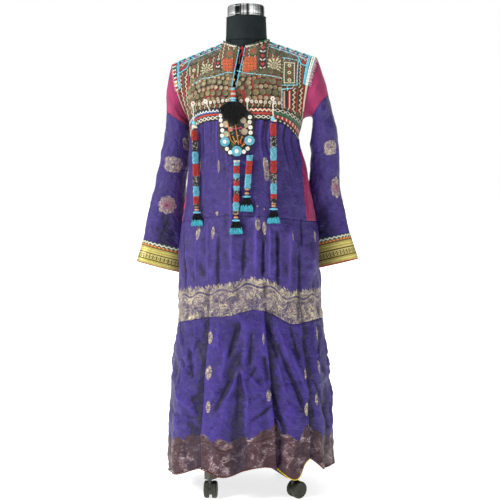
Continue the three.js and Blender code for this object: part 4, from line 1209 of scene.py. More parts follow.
SIDE_CREASES = table(
    "turn z turn2 z2 wide deep",
    (-98, 780, -90, 640, 8, -4),
    (-84, 470, -101, 330, 6, 4),
    (-104, 560, -92, 420, 6, -4),
    (-88, 300, -97, 180, 7, -4),
    (84, 470, 98, 340, 6, 4),
    (96, 760, 90, 640, 8, -4),
    (101, 520, 88, 380, 6, -4),
    (94, 320, 86, 190, 7, 4),
)


def crease_relief(turn, z):
    """Soft troughs and ridges listed for the front, and others like them on the sides and back."""
    out = np.zeros(np.broadcast(turn, z).shape)
    front = list(zip(*CREASES.values()))
    middle, lift, share = BACK_CREASES.values()
    back = [(middle - a, b + lift, middle - c, d + lift, e, f * share) for a, b, c, d, e, f in front]
    for turn0, z0, turn1, z1, wide, deep in front + back + list(zip(*SIDE_CREASES.values())):
        dx, dz = (turn1 - turn0) * ARC, z1 - z0
        size = math.hypot(dx, dz)
        x, h = away_from(turn, turn0) * ARC, z - z0
        along = (x * dx + h * dz) / size**2
        off = np.abs(x * dz - h * dx) / size
        taper = smooth(along / 0.25 + 0.3) * smooth((1 - along) / 0.25 + 0.3)
        out += deep * taper * (0.5 * np.exp(-((off / wide) ** 2)) + 0.5 * np.exp(-off / wide / 0.7))
    return out


def ripple(turn, z, size=1.0):
    """Small unevenness of hand-washed cloth, the same on every run."""
    rng = np.random.default_rng(RNG_SEED)
    out = np.zeros(np.broadcast(turn, z).shape)
    for wave in (150, 95, 60, 42, 30):
        for _ in range(3):
            way, start = rng.uniform(0, math.pi), rng.uniform(0, 2 * math.pi)
            bend = 0.9 * np.sin((turn * ARC * math.sin(way + 1) + z * math.cos(way + 1)) / wave * 2.3 + start)
            run = (turn * ARC * math.cos(way) + z * math.sin(way)) * 2 * math.pi / wave
            out += wave**0.6 * np.sin(run + start + bend)
    return out * size * 0.035


def skirt_relief(turn, z):
    relief, lean = folds_at(turn, z)
    loose = smooth((waist_low(turn) - z) / 260)
    near = 1 - smooth((waist_low(turn) - z) / SMALL_GATHERS["fade"])
    waves = (SMALL_GATHERS["first"], SMALL_GATHERS["second"])
    small = near * sum(deep * sin(count * turn + sway * sin(beat * turn)) for deep, count, sway, beat in waves)
    return relief + small + CREASE_GAIN * crease_relief(turn, z) + ripple(turn, z) * (0.3 + loose), lean


def skirt_point(turn, z, out=0.0):
    relief, lean = skirt_relief(turn, z)
    return body_point(turn + lean, z, relief + out)


def skirt_uv(turn, z):
    return np.stack([turn * ARC / 10, z / 10], axis=-1)


def raised_share(relief, step, spread=20.0, reach=4.2):
    """How far each point of a grid stands over its neighbours in the row: 0 in a trough and 1 on a ridge."""
    half = max(int(3 * spread / step), 1)
    kernel = np.exp(-((np.arange(-half, half + 1) * step / spread) ** 2) / 2)
    padded = np.pad(relief, ((0, 0), (half, half)), mode="edge")
    level_row = np.apply_along_axis(lambda row: np.convolve(row, kernel / kernel.sum(), mode="valid"), 1, padded)
    return np.clip(0.5 + (relief - level_row) / (2 * reach), 0, 1)


def skirt_grid(start, end, top, low, rows, columns):
    """Turns, heights and points of a panel of the skirt."""
    down, across = shares_over(rows, columns)
    z = np.full(down.shape, 900.0)
    for _ in range(5):
        turn = mix(start(z), end(z), across)
        z = mix(top(turn) - SEAM / 2, low(turn) + SEAM / 2, down)
    return turn, z


# Where the wearer's left side gore begins on the front, as the photograph shows it
GORE_EDGE = table("z turn", (822, 66), (876, 66.2), (946, 70.5), (1012, 82.8), (1050, 94.5))
SEAM_TURN = math.degrees(SEAM / 2 / 160)


def skirt_panel(name, area, rows, columns, finish):
    start, end, top, low = area
    turn, z = skirt_grid(start, end, top, low, rows, columns)
    grid = skirt_point(turn, z)
    uv = skirt_uv(turn, z)
    foot, head = (level[edge](turn) for edge in (("hem", "border") if "low" in name else ("goldLow", "gold")))
    step = (turn[0, -1] - turn[0, 0]) * ARC / columns
    # fold: how far the cloth stands out from its row, which the silk turns into painted shade and painted highlights
    values = {"band": (z - foot) / (head - foot), "fold": raised_share(skirt_relief(turn, z)[0], step)}
    edge = np.interp(z, GORE_EDGE["z"], GORE_EDGE["turn"])
    values["gore"] = np.clip(0.5 + (turn - edge), 0, 1) if name == "skirt_front" else 0 * turn
    obj = add_sheet(f"cloth_{name}", grid, finish, uv, values, replaced=[name])
    sprigs = skirt_sprigs(name, turn, z)


def make_skirt(sizes, colours):
    light, dark = tuple(colours.silk_light), tuple(colours.silk_dark)
    silk = silk_finish("purple_silk", light, dark, gore=(tuple(colours.magenta_dark), tuple(colours.magenta_light)))
    mid_band = woven_band(3.3, 0.75, "ddd0a6", "6f5f7c", "382a5a", "7e6f74")
    low_band = woven_band(4.4, 0.1, "b4a6a6", "5e3844", "3a1a26", "33204c")
    mid = silk_finish("purple_silk_gold_band", light, dark, mid_band)
    low = silk_finish("violet_silk_hem_band", tuple(colours.low_light), tuple(colours.low_dark), low_band)
    magenta = plain_finish("magenta_cloth", tuple(colours.magenta_light), tuple(colours.magenta_dark))
    columns = sizes.skirt_columns


    def edge(middle, way):
        """The side of a gusset round the given turn: way -1 for its start and 1 for its end."""
        return lambda z: middle + way * gusset_half(z)

    def area(start, end, gap, top, low):
        """A panel's edges, with a gap for the seam on each side."""
        return lambda z: start(z) + gap, lambda z: end(z) - gap, top, low

    below, hips = ["waistband"], (waist_low, hip_seam)
    front = area(edge(-90, 1), edge(90, -1), SEAM_TURN, *hips)
    back = area(edge(90, 1), edge(270, -1), SEAM_TURN, *hips)
    skirt_panel("skirt_front", front, SKIRT_ROWS["front"], columns, silk)
    skirt_panel("skirt_back", back, SKIRT_ROWS["back"], columns // 2, silk)
    for side, middle in (("l", 90), ("r", -90)):
        gusset = area(edge(middle, -1), edge(middle, 1), SEAM_TURN, *hips)
        skirt_panel(f"gusset_{side}", gusset, SKIRT_ROWS["gusset"], GUSSET_COLUMNS, magenta)
    for face, middle, count in (("front", 0, columns), ("back", 180, columns // 2)):
        ends = (lambda z, m=middle: m - 90 + 0 * z, lambda z, m=middle: m + 90 + 0 * z, SEAM_TURN)
        for part, finish, edges, above in (
            ("mid", mid, (hip_seam, level["goldLow"]), "skirt"),
            ("low", low, (level["goldLow"], level["hem"]), "skirt_mid"),
        ):
            panel = area(*ends, *edges)
            skirt_panel(f"skirt_{part}_{face}", panel, SKIRT_ROWS[part], count, finish)
    make_piping()


def make_piping():
    """Corded piping along the hem, yellow in front of the wearer's left leg and dark red elsewhere."""
    count, sides = 720, 6
    turn = np.arange(count) * FULL / count
    z = level["hem"](turn)
    path = skirt_point(turn, z + SEAM, -0.9)
    path[:, 2] -= 1.9
    rings = tube_points(np.vstack([path[-1:], path, path[:1]]), 1.7, sides)[1:-1]
    bead = twisted(1, 0.22, 1.9, count)[:, None, None]
    rings = path[:, None] + (rings - path[:, None]) * bead
    away = np.abs(away_from(turn, 40))
    yellow = (1 - smooth((away - 12) / 4))[:, None]
    base = mix(linear("5a1f26"), linear("8a6a2a"), (0.5 + 0.5 * np.sin(turn * 3.1))[:, None] * 0.5)
    tint = np.repeat(mix(base, linear("d9b922"), yellow), sides, axis=0)
    first, after = np.arange(sides), (np.arange(sides) + 1) % sides
    last = (count - 1) * sides
    closing = np.stack([last + first, first, after, last + after], axis=-1)
    faces = [grid_faces(count, sides, True), closing]
    add_piece("hem_cord", rings, faces, SHARED["yarn"], tint=tint, replaced=["hem_piping"])


# Yoke: embroidered cloth with patches, open at the slit


def slit_shift(across, down, side):
    share = np.minimum(down / SLIT["deep"], 1)
    half = np.where(down <= SLIT["deep"], mix(SLIT["wide"], SLIT["narrow"], share), 0.4)
    return (SLIT["lean"] * share + side * half) * np.clip(1 - np.abs(across) / 0.1, 0, 1)


def yoke_cloth(face, across, down, side):
    """The yoke's cloth, a little uneven, with the slit's edges pushed apart."""
    turn = yoke_turn(face, across)
    inside = np.clip(8 * down * (1 - down), 0, 1), np.clip(6 * (1 - np.abs(across)), 0, 1)
    grid = on_yoke(face, across, down, ripple(turn * 1.4, 1330 - 200 * down, 0.45) * inside[0] * inside[1])
    if face == "front":
        grid[..., 0] += slit_shift(across, down, side)
    return grid


def yoke_frames(face, across, down):
    way = -1 if face == "front" else 1
    return frames_on(lambda i, j: on_yoke(face, i, j), across, down, 0.004, way)


def sewn(face, across, down, lift, side=None):
    """Places lifted off the yoke's cloth, and their frames."""
    across, down = np.broadcast_arrays(across, down)
    side = np.where(across < 0, -1.0, 1.0) if side is None else side
    frames = yoke_frames(face, across, down)
    return yoke_cloth(face, across, down, side) + frames[..., 2, :] * np.asarray(lift)[..., None], frames


def on_cloth(face, x, z, lift):
    """The same for places given by x and z."""
    x = np.asarray(x, dtype=float)
    return sewn(face, *yoke_at(face, x, z), lift, np.where(x < -8, -1.0, 1.0))


def yoke_sheet(face, finish, rows, half_columns):
    half = np.linspace(0, 1, half_columns + 1)
    shares = np.concatenate([-half[::-1], half if face == "front" else half[1:]])
    side = np.where(np.arange(len(shares)) <= half_columns, -1.0, 1.0)
    down, across = lattice(np.linspace(0, 1, rows + 1), shares)
    grid = yoke_cloth(face, across, down, np.broadcast_to(side, down.shape))
    if face == "back":
        grid = grid[:, ::-1]
    uv = grid[..., [0, 2]] / 10
    faces = grid_faces(*down.shape)
    if face == "front":
        row, column = faces[:, 0] // down.shape[1], faces[:, 0] % down.shape[1]
        faces = faces[~((column == half_columns) & ((row + 1) / rows <= SLIT["deep"]))]
    return add_sheet(f"cloth_yoke_{face}", grid, finish, uv, faces=faces, replaced=[f"yoke_{face}"])


def stitched(name, paint):
    """Embroidery: a painted pattern in twisted thread, raised a little."""
    f, u, v, where = cloth(name)
    color, raised = paint(f, u, v, where)
    thread = ((u + v) * 26.0).wave()
    wear = f.noise(where, 1.4, 4.0, 0.65)
    color = f.blend(wear.ramp(0.55, 0.8) * 0.35, color, "40361f")
    color = f.blend(thread * 0.16, color, "14100c")
    f.set(Base_Color=color, Roughness=0.72 + wear * 0.15, Sheen_Weight=0.2)
    f.bump(raised * 1.4 + thread * 0.5, 0.7, 0.0009)
    return f.material


def length(u, v):
    """How far a point lies from the middle of its pattern."""
    return (u * u + v * v) ** 0.5


def ground_paint(f, u, v, where, under=0.9):
    """Dark cloth with upright lines of zigzags and red rows; under the coins it is redder, with patches of painted
    shade.
    """
    drift = f.noise(where, 0.35, 2.0).ramp(0.25, 0.75)
    lane = (u / 1.6).fract() * 1.6
    zig = (v / 1.1).ping(0.5) * 0.8
    cream = (lane - zig - 0.35).near(0.12, 0.18)
    red = lane.within(1.12, 1.36, 0.03)
    dots = ((v / 0.8).fract() < 0.5) * lane.within(1.38, 1.56, 0.02)
    color = f.blend(drift, "332f1c", "4a4026")
    color = f.layers(
        color,
        (red, "a42c22"),
        (dots, "4f6a38"),
        (cream, "c8be94"),
    )
    # Under the coins: red cloth, and in patches a darker tone that is painted shade between the coins
    coins = v.within(115.4, 123.6, 0.2) * (u + 1.0).near(12.4, 13.0)
    color = f.blend(coins * under, color, f.blend(drift.ramp(0.4, 0.55), "8e281d", "2c2818"))
    return color, cream + red * 0.6


def back_paint(f, u, v, where):
    """The same cloth behind, where no coins are sewn."""
    return ground_paint(f, u, v, where, 0.0)


def orange_paint(f, u, v, where):
    """Orange ground with a close lattice of flowers in dark red and olive."""
    a, b = (u + v) / 1.9, (u - v) / 1.9
    p, q = abs(a.fract() - 0.5), abs(b.fract() - 0.5)
    lines = abs(p - q).ramp(0.12, 0.04) * 0.7
    heart = length(p, q)
    color = f.mottled(where, 1.2, "c64a22", "dd6a34")
    color = f.layers(
        color,
        (lines, "6a6428"),
        (heart.within(0.2, 0.34, 0.04) * 0.8, "9a2a1c"),
        (heart > 0.56, "7c1f1a"),
    )
    return color, heart


def heart_paint(f, u, v, where):
    """A dark column with red hearts and pairs of slanting white leaves."""
    cell = (v / 2.5 + 0.2).fract() * 2.5 - 1.25
    wide = abs(u)
    tall = (cell - 0.45) / 0.5 - (wide / 0.55) ** 0.5 * 0.4
    heart = ((u / 0.55) * (u / 0.55) + tall * tall) < 0.8
    low = cell + 0.55
    p, q = (wide - 0.42 + low) * 0.707, (wide - 0.42 - low) * 0.707
    leaf = (p * p / 0.2 + q * q / 0.03) < 1.0
    color = f.blend(heart, "17120f", "c42a22")
    color = f.layers(
        color,
        ((wide < 0.16) * (abs(low + 0.1) < 0.18), "c42a22"),
        (leaf, "ece6d2"),
        (wide > 0.86, "31452c"),
    )
    return color, heart + leaf


def cream_paint(f, u, v, where):
    """Cream leaves standing round a small diamond, with red marks over and under them."""
    star = length(u, v)
    turn = v.around(u)
    rag = f.noise(where, 2.2, 2.0) * 0.5
    leaf = ((turn * 12.0).sine() + rag).ramp(0.0, 0.3) * star.within(0.55, 2.5, 0.08)
    vein = star.within(1.2, 1.36, 0.04)
    diamond = (abs(u) + abs(v)).within(0.22, 0.42, 0.04)
    color = f.mottled(where, 0.9, "4a4428", "625836", 2.0)
    color = f.blend((leaf * (1.0 - vein)).most(diamond), color, "d8cfa8")
    dash = ((u / 1.2).fract() < 0.55) * abs(v).within(1.86, 2.12, 0.03)
    color = f.blend(dash, color, "b23026")
    color = f.blend(abs(u) > 1.85, color, "232416")
    return color, leaf + diamond


def flower_paint(f, u, v, where):
    """A scalloped cream border round a column of rosettes on olive."""
    cell = (v / 2.2 + 0.5).fract() * 2.2 - 1.1
    star = length(u, cell)
    rim = (abs(u) - 1.42).most(abs(v) - 3.05)
    bite = abs(((u + v) * 4.2).sine()) * 0.12
    border = (rim + bite).within(-0.1, 0.2, 0.04)
    color = f.mottled(where, 0.8, "3b3a22", "524c2e", 3.0, 0.35, 0.65)
    specks = (((u / 0.75).fract() - 0.5) * ((v / 0.75).fract() - 0.5)).ramp(0.06, 0.1) * (rim < -0.2)
    color = f.layers(
        color,
        (specks, "587a44"),
        ((abs(u) < 0.2) * (rim < -0.1), "b63228"),
        (star < 0.52, "dbd4b0"),
        (star < 0.24, "b02a22"),
        (border, "d8d0aa"),
    )
    return color, border + (star < 0.52)


def stripe_paint(f, u, v, where):
    """Upright stripes in black, red and cream."""
    lane = abs(u)
    color = f.blend(lane < 0.36, "b8c0a0", "1d1a1a")
    color = f.layers(
        color,
        (lane.within(0.36, 0.62, 0.02), "c0302a"),
        (lane.within(0.62, 0.86, 0.02), "dfd8b8"),
        (lane > 0.86, "a82c24"),
    )
    return color, lane.within(0.36, 0.86, 0.02)


def chevron_paint(f, u, v, where):
    """Upright zigzags in cream and red on dark green, with red lines between them."""
    lane = (u / 2.0).fract() * 2.0
    zig = (v / 1.3).ping(0.5) * 1.3
    cream = (lane - zig - 0.35).near(0.13, 0.2)
    red = (lane - zig - 0.66).near(0.1, 0.16).most(lane.within(1.55, 1.85, 0.03))
    color = f.blend(red, "26301f", "b43026")
    color = f.blend(cream, color, "dcd4b0")
    return color, cream + red * 0.5


def round_paint(f, u, v, where):
    """A red ring with a red heart on brown."""
    star = length(u, v)
    color = f.mottled(where, 1.0, "5a5234", "766a44")
    color = f.layers(
        color,
        (star.within(0.42, 0.68, 0.05), "b8352a"),
        (star < 0.2, "c23a2a"),
        (star > 1.2, "3f4a2a"),
    )
    return color, star.within(0.42, 0.68, 0.05)


def tip_paint(f, u, v, where):
    """Red corner cloth with a stepped cream line."""
    step = (u / 1.5).ping(0.5) * 1.6
    cream = (v - step + 0.3).near(0.14, 0.22)
    color = f.mottled(where, 0.8, "8c1f2e", "ac2a36")
    color = f.blend((v - step + 0.75).near(0.1, 0.16), color, "2c2a20")
    color = f.blend(cream, color, "ddd3ac")
    return color, cream


PAINTS = (
    ground_paint, back_paint, orange_paint, heart_paint, cream_paint, flower_paint, stripe_paint, chevron_paint,
    round_paint, tip_paint,
)
# Patches on the yoke's front: kind, then x and z of the corners from the upper left, going round
PATCHES = {
    "orange_l": ("orange", (5, 1289), (44, 1288), (49, 1241), (8, 1241)),
    "heart_l": ("heart", (46, 1319), (67, 1321), (75, 1237), (52, 1236)),
    "cream_l": ("cream", (72, 1285), (110, 1285), (114, 1240), (77, 1239)),
    "flower_l": ("flower", (115, 1277), (153, 1277), (157, 1206), (119, 1205)),
    "stripe_l": ("stripe", (121, 1188), (142, 1188), (140, 1140), (120, 1140)),
    "chevron_l": ("chevron", (144, 1197), (184, 1198), (171, 1126), (141, 1131)),
    "round_l": ("round", (20, 1318), (45, 1319), (45, 1293), (20, 1293)),
    "orange_r": ("orange", (-59, 1286), (-18, 1284), (-15, 1242), (-53, 1243)),
    "heart_r": ("heart", (-84, 1289), (-61, 1287), (-54, 1232), (-77, 1234)),
    "cream_r": ("cream", (-127, 1276), (-87, 1273), (-82, 1234), (-120, 1237)),
    "chevron_r": ("chevron", (-203, 1244), (-156, 1247), (-154, 1147), (-181, 1150)),
    "stripe_r": ("stripe", (-152, 1246), (-130, 1243), (-126, 1216), (-147, 1206)),
    "round_r": ("round", (-48, 1311), (-22, 1312), (-22, 1288), (-48, 1288)),
    "tip_l": ("tip", (158, 1299), (195, 1290), (188, 1264), (166, 1272)),
    "tip_r": ("tip", (-210, 1284), (-168, 1298), (-172, 1268), (-203, 1254)),
    "rosette_r": ("flower", (-168, 1270), (-131, 1274), (-128, 1246), (-163, 1240)),
}
# Rows and columns of faces: of a patch, and of the yoke's cloth down it and across half of it
PATCH_GRID = (14, 12)
YOKE_GRID = {"front": (72, 90), "back": (44, 56)}
# Patches that the back doesn't have
FRONT_ONLY = ("round_l", "round_r", "stripe_r", "rosette_r")


def yoke_patch(name, face, finish, corners, out):
    """A padded patch over four corners that go round from the upper left, each given by x and z."""
    a, b, c, d = np.array(corners, dtype=float)
    down, across = shares_over(*PATCH_GRID)
    flat = mix(mix(a, b, across[..., None]), mix(d, c, across[..., None]), down[..., None])
    swell = 0.5 * (1 - (2 * down - 1) ** 6) * (1 - (2 * across - 1) ** 6)
    x = flat[..., 0] if face == "front" else -flat[..., 0]
    grid, _ = on_cloth(face, x, flat[..., 1], out + swell)
    wide, tall = np.linalg.norm(b - a) / 10, np.linalg.norm(d - a) / 10
    uv = np.stack([(across - 0.5) * wide, (0.5 - down) * tall], axis=-1)
    return add_sheet(f"patch_{face}_{name}", grid, finish, uv, thick=1.0)


def make_yoke(sizes):
    kinds = [paint.__name__.split("_")[0] for paint in PAINTS]
    finishes = {kind: stitched(f"{kind}_embroidery", paint) for kind, paint in zip(kinds, PAINTS)}
    front = yoke_sheet("front", finishes["ground"], *YOKE_GRID["front"])
    back = yoke_sheet("back", finishes["back"], *YOKE_GRID["back"])
    patches = {"front": [], "back": []}
    lift = round(sizes.patch_lift / MM, 3)
    for name, (kind, *corners) in PATCHES.items():
        for face in ("front",) if name in FRONT_ONLY else ("front", "back"):
            patches[face].append(yoke_patch(name, face, finishes[kind], corners, lift))
    for obj, sewn_on in ((front, patches["front"]), (back, patches["back"])):
        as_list(sewn_on)


# Waistband and sleeves


def crosses(u, share, low, high, period):
    """Crosses side by side along a row of the band."""
    across = (u / period).fract() * 2.0 - 1.0
    tall = (share - (low + high) / 2) * (2.0 / (high - low))
    return (abs(abs(across) - abs(tall)) < 0.27) * share.within(low, high, 0.005)


def teeth(u, share, low, high, period):
    """A zigzag along a row of the band."""
    line = (u / period).ping(0.5) * ((high - low) * 1.5) + low
    return (abs(share - line - 0.03) < 0.06) * 1.0


def waist_paint(f, u, share):
    """Rows in thread: blue zigzags and crosses in front, red ones to their left, green and checks beyond those."""
    left = f.blend(share.within(0.1, 0.32), "16130f", "b32c24")
    left = f.layers(
        left,
        (teeth(u, share, 0.1, 0.32, 1.3), "e2dac0"),
        (share.within(0.4, 0.56), "b8342a"),
        (crosses(u, share, 0.62, 0.88, 1.5), "e6e0d0"),
    )
    far = f.blend(crosses(u, share, 0.06, 0.3, 2.0), "171511", "ddd6c0")
    far = f.layers(
        far,
        (share.within(0.3, 0.5), "2c6644"),
        (share.within(0.54, 0.76), "a82820"),
        (((u / 1.7).fract() < 0.3) * share.within(0.55, 0.72, 0.01), "dcd0b4"),
        (((u / 1.7).fract() > 0.6) * share.within(0.84, 0.93, 0.01), "d8d2bc"),
    )
    left = f.blend(u > 10.5, left, far)
    right = f.blend(teeth(u, share, 0.12, 0.36, 1.3), "14121a", "dfe4e8")
    right = f.layers(
        right,
        (share.within(0.3, 0.38), "34509c"),
        (share.within(0.44, 0.56), "c2381e"),
        (crosses(u, share, 0.62, 0.9, 1.6), "e8e2d0"),
    )
    return f.blend((u > -3.5) * (u < 33.0), right, left)


def waist_finish():
    f, u, _, where = cloth("woven_waistband")
    color = waist_paint(f, u, f.attribute("band"))
    thread = (u * 30.0).wave()
    wear = f.noise(where, 0.9, 4.0, 0.6)
    color = f.blend(wear.ramp(0.55, 0.8) * 0.25, color, "4a4030")
    color = f.blend(thread * 0.16, color, "100d0c")
    f.set(Base_Color=color, Roughness=0.74 + wear * 0.12, Sheen_Weight=0.2)
    f.bump(thread * 0.6 + wear, 0.6, 0.0008)
    return f.material


WAIST_GRID = (12, 420)


def make_waistband():
    down, across = shares_over(*WAIST_GRID)
    turn = across * FULL - 180
    z = mix(waist_top(turn) - SEAM / 2, waist_low(turn) + SEAM / 2, down)
    bulge = 0.5 * np.sin(math.pi * down) + 0.4 * sin(30 * turn) * down**2 + ripple(turn, z, 0.3)
    grid = body_point(turn, z, 0.8 + bulge)
    uv = np.stack([turn * 0.3, z / 10], axis=-1)
    obj = add_sheet("cloth_waistband", grid, waist_finish(), uv, {"band": down}, thick=1.6, replaced=["waistband"])


SLEEVE_SIDES = 118
SLEEVE_ROUND = 338
# Lengths of the sleeve: where each starts and ends along it, rows of faces and thickness; its flat cut and area
SLEEVE_PARTS = {
    "head": ((0.0, 1.995, 34, 1.2), (0.40, 0.13), 0.026),
    "top": ((2.005, 4.495, 50, 1.2), (0.36, 0.125), None),
    "low": ((4.505, 7.99, 70, 1.2), (0.36, 0.25), None),
    "cuff": ((8.01, 9.0, 18, 2.2), (0.37, 0.085), None),
}
CUFF_STOPS = {"braid": 0.14, "row": 0.22, "line": 0.26}


def cuff_finish():
    """Gold cuff: a zigzag edge in thread, a red row, gold bands with stripes and a row of small motifs."""
    f, u, v, where = cloth("gold_cuff")
    share = f.attribute("band")
    tooth = (u / 1.2).ping(0.5) * 0.16
    color = f.blend(abs(share - tooth - 0.02) < 0.035, "2c5a44", "d8dcc8")
    color = f.blend(share > CUFF_STOPS["braid"], color, "b4481f")
    dots = ((u / 1.0).fract() < 0.5) * share.within(0.15, 0.2, 0.01)
    color = f.blend(dots, color, "d8a83c")
    color = f.blend(share > CUFF_STOPS["row"], color, "2f5238")
    lines = (share * 58.0).sine()
    fine = (v * 40.0).wave()
    gold = f.blend(lines.ramp(0.1, 0.8) * 0.7, "b3a23e", "efe28a")
    gold = f.blend(fine * 0.14, gold, "5e521d")
    gold = f.blend(foliage(f, where, 1.4, 5.0) * 0.6, gold, "e0d890")
    cell = (u / 0.9).fract() - 0.5
    tall = (share - 0.66) * 7.5
    star = (cell * cell * 3.6 + tall * tall) ** 0.5
    motif = f.blend(star.within(0.3, 0.62, 0.06), "6e6124", "d6ca80")
    pick = ((u / 1.8).fract() < 0.5) * 1.0
    heart = star < 0.26
    motif = f.blend(heart * pick, motif, "a82a22")
    motif = f.blend(heart * (1.0 - pick), motif, "2f6244")
    gold = f.blend(share.within(0.58, 0.74, 0.01), gold, motif)
    gold = f.blend(share.within(0.5, 0.54, 0.006).most(share.within(0.77, 0.81, 0.006)), gold, "4a3c18")
    is_gold = (share > CUFF_STOPS["line"]) * 1.0
    color = f.blend(is_gold, color, gold)
    worn = f.noise(where, 0.7, 4.0, 0.7).ramp(0.55, 0.8)
    color = f.blend(worn * 0.3, color, "6a5c2c")
    f.set(Base_Color=color, Roughness=0.5 - is_gold * 0.12 + worn * 0.2, Metallic=is_gold * (0.35 - worn * 0.2))
    f.bump(fine * 0.4 + lines * 0.4 + worn, 0.5, 0.0008)
    return f.material


def sleeve_cloth(side, at, angle, out=0.0):
    """The sleeve's cloth with small creases across the elbow and along the arm."""
    way = 1 if side == "l" else -1
    small = ripple(angle * 0.5 * way, 1200 - at * 72, 0.55) * np.clip(at * 1.2, 0, 1) * np.clip((8.2 - at) * 2, 0, 1)
    elbow = np.exp(-(((at - 4.6) / 1.5) ** 2)) * (0.5 + 0.5 * sin(angle))
    pull = 1.6 * np.sin(at * 7.5 + sin(angle - 60) * 2.2 + 1.2 * way) * elbow
    return sleeve_point(side, at, angle, small + pull + out)


def sleeve_uv(at, angle):
    """Centimetres of cloth round the sleeve and down it."""
    return np.stack([angle * 0.094, 120 - at * 7.3], axis=-1)


def sleeve_middle(side, at):
    way = 1 if side == "l" else -1
    ring = {name: sleeve_read[side][name](at) for name in "xyz"}
    return np.stack([way * ring["x"], ring["y"], ring["z"]], axis=-1)


def sleeve_sheet(side, part, finish):
    (start, end, rows, thick), flat, area = SLEEVE_PARTS[part]
    down, across = shares_over(rows, SLEEVE_SIDES)
    at, angle = mix(start, end, down), across * FULL - 90
    grid = sleeve_cloth(side, at, angle)
    uv = sleeve_uv(at, angle)
    if side == "l":
        grid, uv, down = grid[:, ::-1], uv[:, ::-1], down[:, ::-1]
    node = f"cuff_{side}" if part == "cuff" else f"sleeve_{part}_{side}"
    relief = np.linalg.norm(grid - sleeve_middle(side, at), axis=-1)
    # fold: how far the cloth stands out round the sleeve, which the silk turns into painted shade and painted
    # highlights
    values = {"band": down, "fold": raised_share(relief, SLEEVE_ROUND / SLEEVE_SIDES, 14.0, 4.0)}
    obj = add_sheet(f"cloth_{node}", grid, finish, uv, values, thick=thick, replaced=[node])
    sprigs = sleeve_sprigs(side, part, start, end)


def make_sleeves(colours):
    silk = silk_finish("sleeve_silk", tuple(colours.silk_light), tuple(colours.silk_dark))
    head = plain_finish("magenta_head", tuple(colours.magenta_light), tuple(colours.magenta_dark))
    gold = cuff_finish()
    finishes = {"head": head, "top": silk, "low": silk, "cuff": gold}
    for side in ("l", "r"):
        for part, finish in finishes.items():
            sleeve_sheet(side, part, finish)


def make_cuff_cords():
    """Red corded edge round each cuff's mouth and the stitched seams of the sleeves."""
    cords = Heap()
    angle = np.arange(0, 241) * 1.5
    for side in ("l", "r"):
        path = sleeve_cloth(side, np.full(angle.shape, 9.0), angle, -1.0)
        path[:, 2] -= 0.6
        cords.tube(path, twisted(1.5, 0.25, 2.1, len(path)), 6, "a8231c", up=(0.3, 0.2, 1))
        for at in (1.998, 4.5):
            path = sleeve_cloth(side, np.full(angle.shape, at), angle, -0.2)
            cords.tube(path, 0.5, 5, "3a2a6a" if at > 3 else "7a2350", up=(0.3, 0.2, 1))
    cords.piece("cuff_cords", SHARED["yarn"])


# Woven metal sprigs on the silk, each a thin raised shape: kind, place and half sizes in millimetres
SPRIGS = (
    ("band", 25.8, 966, 10.5, 34.5),
    ("thin", -20.5, 974, 4.5, 19.5),
    ("band", -44.5, 966, 4.5, 36),
    ("tri", -20.5, 842, 9, 10.5),
    ("tri", 15, 860, 5.2, 4.5),
    ("tri", 20.5, 852, 6, 4.5),
    ("almond", -23.2, 784, 6, 18),
    ("almond", -39.2, 782, 9, 21),
    ("almond", 14.8, 808, 8.2, 18.8),
    ("almond", 20, 796, 6, 19.5),
    ("thin", 44.5, 772, 3.8, 15),
    ("almond", 77, 768, 6, 18),
    ("almond", -23, 482, 8.2, 18),
    ("thin", 70, 484, 6, 19.5),
    ("thin", 17.2, 482, 3, 16),
    ("almond", -21.5, 382, 8.2, 21),
    ("almond", -21, 282, 6, 18),
    ("almond", 20, 320, 6, 16.5),
    ("almond", 65.8, 388, 7.5, 19.5),
    ("almond", 60.8, 296, 6, 18),
    ("thin", 49.8, 270, 3.9, 21),
    ("thin", 49.8, 374, 2.4, 18),
)
SLEEVE_SPRIGS = {
    "r": (
        ("patch", 3.3, 150, 22, 20),
        ("patch", 4.35, 91, 30, 25.5),
        ("flower", 6.0, 88, 30, 30),
        ("almond", 5.2, 215, 9, 20),
    ),
    "l": (
        ("patch", 3.4, 300, 20, 20),
        ("patch", 4.4, 43, 22.5, 22.5),
        ("flower", 5.9, 22, 18, 33),
        ("almond", 5.2, 200, 9, 20),
    ),
}
SPRIG_LIFT, SPRIG_FALL = 0.9, 0.8
POWERS = {"almond": 1.75, "thin": 1.7, "tri": 1.0, "band": 3.4, "patch": 3.2, "flower": 2.0}


def sprig_disc(kind, rng):
    """A flat shape within one unit as rings of points, with how far out each is and how near to the heart."""
    sides = 96 if kind == "flower" else 36
    angle, power = circle(sides), POWERS[kind]
    reach = (np.abs(np.cos(angle)) ** power + np.abs(np.sin(angle)) ** power) ** (-1 / power)
    if kind == "flower":
        reach = 0.8 + 0.2 * np.abs(np.cos(4 * angle)) ** 0.7
    if kind == "tri":
        reach = reach * (0.75 - 0.25 * np.sin(angle))
    ragged = rng.uniform(0.86, 1.04, sides) if kind in ("band", "patch") else rng.uniform(0.97, 1.02, sides)
    share = np.linspace(0.08, 1, 7)[:, None]
    x, y = share * reach * ragged * np.cos(angle), share * reach * ragged * np.sin(angle)
    heart = np.broadcast_to((1 - share) ** 2 * (1.6 if kind == "flower" else 0.1), x.shape)
    return x, y, np.broadcast_to(share, x.shape), np.clip(heart, 0, 1)


def sprig_out(share):
    """How far a sprig stands off the cloth, less at its rim."""
    return SPRIG_LIFT - SPRIG_FALL * share**8


